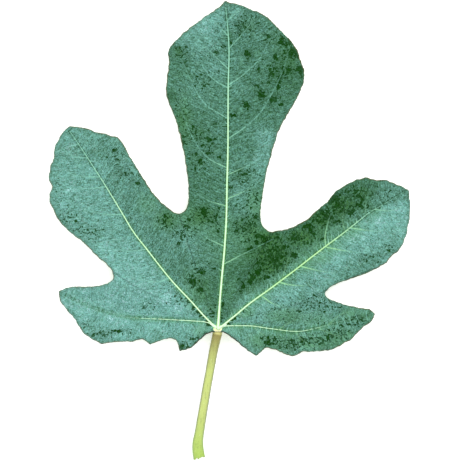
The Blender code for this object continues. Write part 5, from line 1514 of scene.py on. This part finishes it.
class FIGLEAF_OT_make_ribs(bpy.types.Operator):
    """Make the pale ribs that stand in the upper face's grooves"""

    bl_idname = "fig_leaf.make_ribs"
    bl_label = "Make the ribs"

    def execute(self, context):
        look = context.scene.fig_leaf_ribs
        plan = leaf_plan()
        material = rib_material(look)
        at_joint = look.width_at_joint / MM / 2.0
        at_tip = look.width_at_tip / MM / 2.0
        parts = []
        for number, rib in enumerate(plan.ribs):
            part = np.linspace(0.0, 1.0, len(rib))
            foot = RIB_FOOT * np.exp(-part * RIB_FOOT_ENDS)
            taper = (1.0 - part ** RIB_TAPER[0]) ** RIB_TAPER[1]
            half = RIB_SIZES[number] * (at_tip + (at_joint - at_tip) * taper + foot)
            start, over, ahead = TIP_TONE
            tone = part + ahead * np.clip((part - start) / over, 0.0, 1.0)
            flank = np.abs(np.cos(np.arange(RIB_SIDES) * math.pi / (0.5 * RIB_SIDES)))
            if number >= LARGE_RIBS:
                shown = BASE_RIBS_SHOW[number - LARGE_RIBS]
                half = half * np.clip((shown - part) / BASE_RIBS_THIN_OVER, BASE_RIBS_THINNEST, 1.0)
                tone = BASE_RIB_TONES[0] + BASE_RIB_TONES[1] * part / shown
                flank = BASE_RIB_FLANK * flank
            if number == RIGHT_LARGE_RIB:
                end, over, least = RIGHT_RIB_THINS
                half = half * np.clip((end - part) / over, least, 1.0)
            vertices, faces = tube_on_blade(plan, rib, half, *RIB_PROFILE)
            warm = np.full(len(vertices), RIB_WARMTHS[number])
            values = [np.repeat(tone, RIB_SIDES), np.tile(flank, len(rib)), warm]
            parts.append((vertices, faces, np.stack(values, axis=1)))
        for number, spur in plan.draw_spurs():
            half = look.spur_width / MM / 2.0 * np.linspace(1.0, SPUR_TIP, len(spur))
            vertices, faces = tube_on_blade(plan, spur, half, *SPUR_PROFILE)
            tone = np.repeat(np.linspace(*SPUR_TONES, len(spur)), SPUR_SIDES)
            warm = np.full(len(tone), SPUR_WARMTHS[number])
            flank = np.full(len(tone), SPUR_FLANK)
            parts.append((vertices, faces, np.stack([tone, flank, warm], axis=1)))
        vertices, faces, values = join_parts(parts)
        placed = in_frame(vertices, vertices[:, 2])
        values = {"along": values[:, 0], "flank": values[:, 1], "warm": values[:, 2]}
        add_piece("main_ribs", placed, faces, material, values)

        side_half = look.side_width / MM / 2.0
        material = bpy.data.materials["bloomed_leaf_green"]
        parts = []
        for rib in plan.side_ribs:
            part = np.linspace(0.0, 1.0, len(rib))
            half = side_half * (1.0 - SIDE_RIB_NARROWS * part)
            vertices, faces = tube_on_blade(plan, rib, half, *SIDE_RIB_PROFILE)
            parts.append((vertices, faces, np.zeros(0)))
        vertices, faces = join_parts(parts)[:2]
        placed = in_frame(vertices, vertices[:, 2])
        near = plan.fields(vertices[:, :2])
        near["cross"] = near["cross"] + CROSS_VEIN_GAP
        values = plan.finish_values(vertices[:, :2], near)
        add_piece("side_ribs", placed, faces, material, values)
        return {"FINISHED"}


class FIGLEAF_OT_make_joint(bpy.types.Operator):
    """Make the pale swelling where the ribs and the stalk meet"""

    bl_idname = "fig_leaf.make_joint"
    bl_label = "Make the joint"

    def execute(self, context):
        plan = leaf_plan()
        around = JOINT_POINTS_AROUND
        middle = np.array(JOINT_MIDDLE)
        aims = [rib[JOINT_AIMED_POINT] - middle for rib in plan.ribs]
        directions = [math.atan2(aim[1], aim[0]) for aim in aims]
        flat = []
        rise = []
        between = []
        for ring in range(JOINT_RINGS + 1):
            part = ring / JOINT_RINGS
            for turn in angles(around):
                reach = JOINT_REACH + JOINT_WIDER * abs(math.cos(turn))
                on_arm = 0.0
                for direction, arm in zip(directions, JOINT_ARMS):
                    away = math.remainder(turn - direction, 2.0 * math.pi)
                    reach += arm * math.exp(-((away / JOINT_ARM_WIDTH) ** 2))
                    on_arm = max(on_arm, math.exp(-((away / JOINT_ARM_SHOULDER) ** 2)))
                if math.sin(turn) < 0.0:
                    reach = min(reach, (middle[1] + JOINT_FOOT) / -math.sin(turn))
                spot = middle + part * reach * np.array([math.cos(turn), math.sin(turn)])
                flat.append(spot)
                rise.append((1.0 - part**2) * (JOINT_BETWEEN_ARMS + (1.0 - JOINT_BETWEEN_ARMS) * on_arm))
                between.append((1.0 - on_arm) * part * (math.sin(turn) > 0.0))
        flat = np.array(flat)
        rise = np.array(rise)
        ground = plan.heights(flat, plan.fields(flat))[0]
        stalk_top = STALK_ROUTE[0][2] + STALK_ROUTE[0][3]
        onto_stalk = np.clip((JOINT_LEAVES_BLADE - flat[:, 1]) / JOINT_LEAVES_OVER, 0.0, 1.0)
        ground = ground * (1.0 - onto_stalk) + stalk_top * onto_stalk
        top = ground - JOINT_SUNK + JOINT_HEIGHT * rise
        under = ground - JOINT_DEPTH
        vertices = np.concatenate([in_frame(flat, top), in_frame(flat, under)])
        count = len(flat)
        faces = ring_faces(JOINT_RINGS + 1, around)
        faces += [tuple(count + index for index in reversed(face)) for face in faces]
        outer = JOINT_RINGS * around
        for step in range(around):
            following = (step + 1) % around
            faces.append((outer + step, count + outer + step, count + outer + following, outer + following))
        material = bpy.data.materials["pale_rib"]
        cream = np.clip((JOINT_CREAM_TOP - flat[:, 1]) / JOINT_CREAM_OVER, 0.0, 1.0)
        cream = JOINT_CREAM_TONE * cream
        values = {"along": np.tile(cream, 2), "flank": np.tile(between, 2), "warm": np.zeros(2 * count)}
        joint = add_piece("joint_swelling", vertices, faces, material, values)
        weld(joint)
        return {"FINISHED"}


def weld(piece, distance=0.01):
    """Merge the points of a piece that lie closer than a distance in millimetres."""
    grid = bmesh.new()
    grid.from_mesh(piece.data)
    bmesh.ops.remove_doubles(grid, verts=grid.verts[:], dist=distance * MM)
    bmesh.ops.recalc_face_normals(grid, faces=grid.faces[:])
    grid.to_mesh(piece.data)
    grid.free()
    piece.data.shade_smooth()


class FIGLEAF_OT_make_stalk(bpy.types.Operator):
    """Make the stalk, from inside the joint to its torn cut end"""

    bl_idname = "fig_leaf.make_stalk"
    bl_label = "Make the stalk"

    def execute(self, context):
        look = context.scene.fig_leaf_stalk
        route = smooth_through(STALK_ROOT + STALK_ROUTE, STALK_POINT_STEP)
        sides = STALK_SIDES
        vertices = []
        along = []
        crown = []
        for ring, (x, y, z, radius) in enumerate(route):
            nearer = route[max(0, ring - 1)]
            farther = route[min(len(route) - 1, ring + 1)]
            forward = Vector((farther - nearer)[:3]).normalized()
            sideways = forward.cross(Vector((0.0, 0.0, 1.0))).normalized()
            up = sideways.cross(forward)
            length = STALK_ROUTE[0][1] - y
            torn = max(0.0, length - TORN_FROM) / TORN_OVER
            for turn in angles(sides):
                level = math.cos(turn)
                crest = math.sin(turn)
                ridge = sum(
                    height * math.sin(count * turn + twist * length)
                    for height, count, twist in STALK_RIDGES
                )
                lump_place = (level * LUMP_GRAIN, crest * LUMP_GRAIN, length / LUMP_LENGTH)
                lump = LUMP_HEIGHT * noise.noise(lump_place)
                fray = FRAY * torn * noise.noise((7.0 + FRAY_GRAIN * level, FRAY_GRAIN * crest, 0.4))
                size = radius * (1.0 + STALK_RIDGED * ridge + STALK_LUMPY * lump + fray)
                offset = sideways * level + up * crest
                slip_place = (FRAY_SLIP_GRAIN * level, FRAY_SLIP_GRAIN * crest, 5.0)
                slip = FRAY_SLIP * torn * noise.noise(slip_place)
                spot = Vector((x, y, z)) + offset * size + forward * slip
                vertices.append(spot)
                along.append(length)
                crown.append(crest)
        rim = vertices[-sides:]
        middle = sum(rim, Vector()) / sides
        for step in range(1, CUT_RINGS + 1):
            part = 1.0 - step / (CUT_RINGS + 1.0)
            for corner in rim:
                spot = middle + (corner - middle) * part
                pit = CUT_HOLLOW * (1.0 - part) ** CUT_HOLLOW_POWER
                pit += CUT_ROUGH * noise.noise((spot.x * CUT_GRAIN, spot.z * CUT_GRAIN, 2.0))
                vertices.append(spot - forward * pit)
        faces = ring_faces(len(route) + CUT_RINGS, sides)
        faces.append(tuple(range(sides)))
        faces.append(tuple(range(len(vertices) - sides, len(vertices))))
        points = np.array([tuple(vertex) for vertex in vertices])
        points[:, 2] = np.maximum(points[:, 2], STALK_LOWEST)
        inner = CUT_RINGS * sides
        cut_face = [0.0] * len(crown) + [1.0] * inner
        values = {"along": along + [along[-1]] * inner, "crown": crown + [0.0] * inner, "cut_face": cut_face}
        placed = in_frame(points, points[:, 2])
        stalk = add_piece("fine_stalk", placed, faces, stalk_material(look), values)
        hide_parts("petiole")
        return {"FINISHED"}


def hair_mesh(roots, directions, lengths, thickness):
    """Return the points and faces of three-sided needles."""
    vertices = []
    faces = []
    for root, direction, length in zip(roots, directions, lengths):
        direction = Vector(direction).normalized()
        sideways = direction.orthogonal().normalized()
        other = direction.cross(sideways)
        first = len(vertices)
        for turn in angles(3):
            foot = Vector(root) - direction * HAIR_ROOT * length
            vertices.append(foot + 0.5 * thickness * (sideways * math.cos(turn) + other * math.sin(turn)))
        vertices.append(Vector(root) + direction * length)
        for corner in range(3):
            faces.append((first + corner, first + (corner + 1) % 3, first + 3))
        faces.append((first + 2, first + 1, first))
    return np.array([tuple(vertex) for vertex in vertices]), faces


class FIGLEAF_OT_make_hairs(bpy.types.Operator):
    """Make the short hairs under the ribs, along the edge and on the stalk"""

    bl_idname = "fig_leaf.make_hairs"
    bl_label = "Make the hairs"

    def execute(self, context):
        look = context.scene.fig_leaf_hairs
        chance = random.Random(SEED + 1)
        material = hair_material(look)
        blade = bpy.data.objects["fine_blade"].data
        stalk = bpy.data.objects["fine_stalk"].data
        places = {"under": [], "edge": [], "stalk": []}
        rib = blade.attributes["rib_away"].data
        side = blade.attributes["side_away"].data
        edge = blade.attributes["edge_away"].data
        for polygon in blade.polygons:
            corner = polygon.vertices[0]
            if polygon.material_index == 1:
                if rib[corner].value < HAIRS_NEAR_RIB or side[corner].value < HAIRS_NEAR_SIDE_RIB:
                    places["under"].append(polygon)
            elif max(edge[index].value for index in polygon.vertices) < HAIR_EDGE_WITHIN:
                places["edge"].append(polygon)
        along = stalk.attributes["along"].data
        start, end = HAIRS_ALONG_STALK
        for polygon in stalk.polygons:
            if len(polygon.vertices) == 4 and start < along[polygon.vertices[0]].value < end:
                places["stalk"].append(polygon)
        wanted = (("under", look.under_count), ("edge", look.edge_count), ("stalk", look.stalk_count))
        for name, count in wanted:
            mesh = stalk if name == "stalk" else blade
            roots = []
            directions = []
            lengths = []
            for _ in range(count):
                polygon = chance.choice(places[name])
                corners = [mesh.vertices[index].co for index in polygon.vertices[:3]]
                first, second = sorted((chance.random(), chance.random()))
                root = corners[0] * first + corners[1] * (second - first) + corners[2] * (1.0 - second)
                lean = Vector([chance.uniform(-HAIR_LEAN, HAIR_LEAN) for _ in range(3)])
                direction = polygon.normal + lean
                length = look.length * chance.uniform(*HAIR_LENGTHS)
                if root.z + direction.normalized().z * length < 0.0:
                    continue
                roots.append(root)
                directions.append(direction)
                lengths.append(length)
            vertices, faces = hair_mesh(roots, directions, lengths, look.thickness)
            add_piece("hairs_" + name, vertices, faces, material)
        return {"FINISHED"}


def area_light(name, place, size, power, colour):
    """Add a soft light that faces the leaf."""
    light = bpy.data.lights.new(name, "AREA")
    light.shape = "DISK"
    light.size = size
    light.energy = power
    light.color = colour
    item = bpy.data.objects.new(name, light)
    item.location = place
    item.rotation_euler = (-Vector(place)).to_track_quat("-Z", "Y").to_euler()
    bpy.context.scene.collection.objects.link(item)


class FIGLEAF_OT_make_stage(bpy.types.Operator):
    """Make the pale floor, the soft lights and the camera that looks straight down"""

    bl_idname = "fig_leaf.make_stage"
    bl_label = "Make the stage"

    def execute(self, context):
        look = context.scene.fig_leaf_stage
        graph = Graph("pale_floor")
        grain = graph.noise(graph.place(), 40.0, 3.0)
        material = graph.finish(
            Base_Color=graph.mix(grain, darker(look.floor_colour, 0.985), look.floor_colour),
            Roughness=0.9,
            Specular_IOR_Level=0.1,
            Emission_Color=look.floor_colour,
            Emission_Strength=look.floor_glow,
        )
        mesh = bpy.data.meshes.new("floor")
        signs = ((-1, -1), (1, -1), (1, 1), (-1, 1))
        corners = [(x * FLOOR_HALF, y * FLOOR_HALF, 0.0) for x, y in signs]
        mesh.from_pydata(corners, [], [(0, 1, 2, 3)])
        mesh.materials.append(material)
        floor = bpy.data.objects.new("floor", mesh)
        context.scene.collection.objects.link(floor)

        world = bpy.data.worlds.new("even_sky")
        world.use_nodes = True
        background = world.node_tree.nodes["Background"]
        background.inputs["Color"].default_value = SKY_COLOUR
        background.inputs["Strength"].default_value = look.sky_strength
        context.scene.world = world
        area_light("main_light", MAIN_LIGHT_PLACE, MAIN_LIGHT_SIZE, look.main_power, MAIN_LIGHT_COLOUR)
        area_light("fill_light", FILL_LIGHT_PLACE, FILL_LIGHT_SIZE, look.fill_power, FILL_LIGHT_COLOUR)

        lens = bpy.data.cameras.new("camera")
        lens.lens = look.lens
        lens.sensor_width = SENSOR_WIDTH
        lens.sensor_fit = "HORIZONTAL"
        lens.clip_start = VIEW_STARTS
        lens.clip_end = VIEW_ENDS
        camera = bpy.data.objects.new("camera", lens)
        distance = look.view_width * look.lens / SENSOR_WIDTH
        camera.location = in_frame(np.array([VIEW_MIDDLE]), VIEW_LEVEL + distance / MM)[0]
        context.scene.collection.objects.link(camera)
        context.scene.camera = camera
        context.scene.view_settings.view_transform = "Standard"
        context.scene.view_settings.look = "None"
        return {"FINISHED"}


class FIGLEAF_PT_panel(bpy.types.Panel):
    """The leaf's sizes, colours and steps"""

    bl_idname = "FIGLEAF_PT_panel"
    bl_label = "Fig leaf"
    bl_space_type = "VIEW_3D"
    bl_region_type = "UI"
    bl_category = "Fig leaf"

    def draw(self, context):
        for name, look in LOOKS.items():
            box = self.layout.box()
            box.label(text=look.__doc__)
            for key in look.__annotations__:
                box.prop(getattr(context.scene, name), key)
        for operator in OPERATORS:
            self.layout.operator(operator.bl_idname)


LOOKS = {
    "fig_leaf_blade": BladeLook,
    "fig_leaf_ribs": RibLook,
    "fig_leaf_stalk": StalkLook,
    "fig_leaf_hairs": HairLook,
    "fig_leaf_stage": StageLook,
}
OPERATORS = [
    FIGLEAF_OT_make_stage,
    FIGLEAF_OT_make_blade,
    FIGLEAF_OT_make_ribs,
    FIGLEAF_OT_make_joint,
    FIGLEAF_OT_make_stalk,
    FIGLEAF_OT_make_hairs,
]
CLASSES = [*LOOKS.values(), *OPERATORS, FIGLEAF_PT_panel]


def register():
    """Register the classes and give the scene their values."""
    for item in CLASSES:
        bpy.utils.register_class(item)
    for name, look in LOOKS.items():
        setattr(bpy.types.Scene, name, PointerProperty(type=look))


def unregister():
    """Take the values and the classes away again."""
    for name in LOOKS:
        delattr(bpy.types.Scene, name)
    for item in reversed(CLASSES):
        bpy.utils.unregister_class(item)


def main():
    """Make the whole scene."""
    register()
    bpy.ops.fig_leaf.make_stage()
    bpy.ops.fig_leaf.make_blade()
    bpy.ops.fig_leaf.make_ribs()
    bpy.ops.fig_leaf.make_joint()
    bpy.ops.fig_leaf.make_stalk()
    bpy.ops.fig_leaf.make_hairs()


if __name__ == "__main__":
    main()
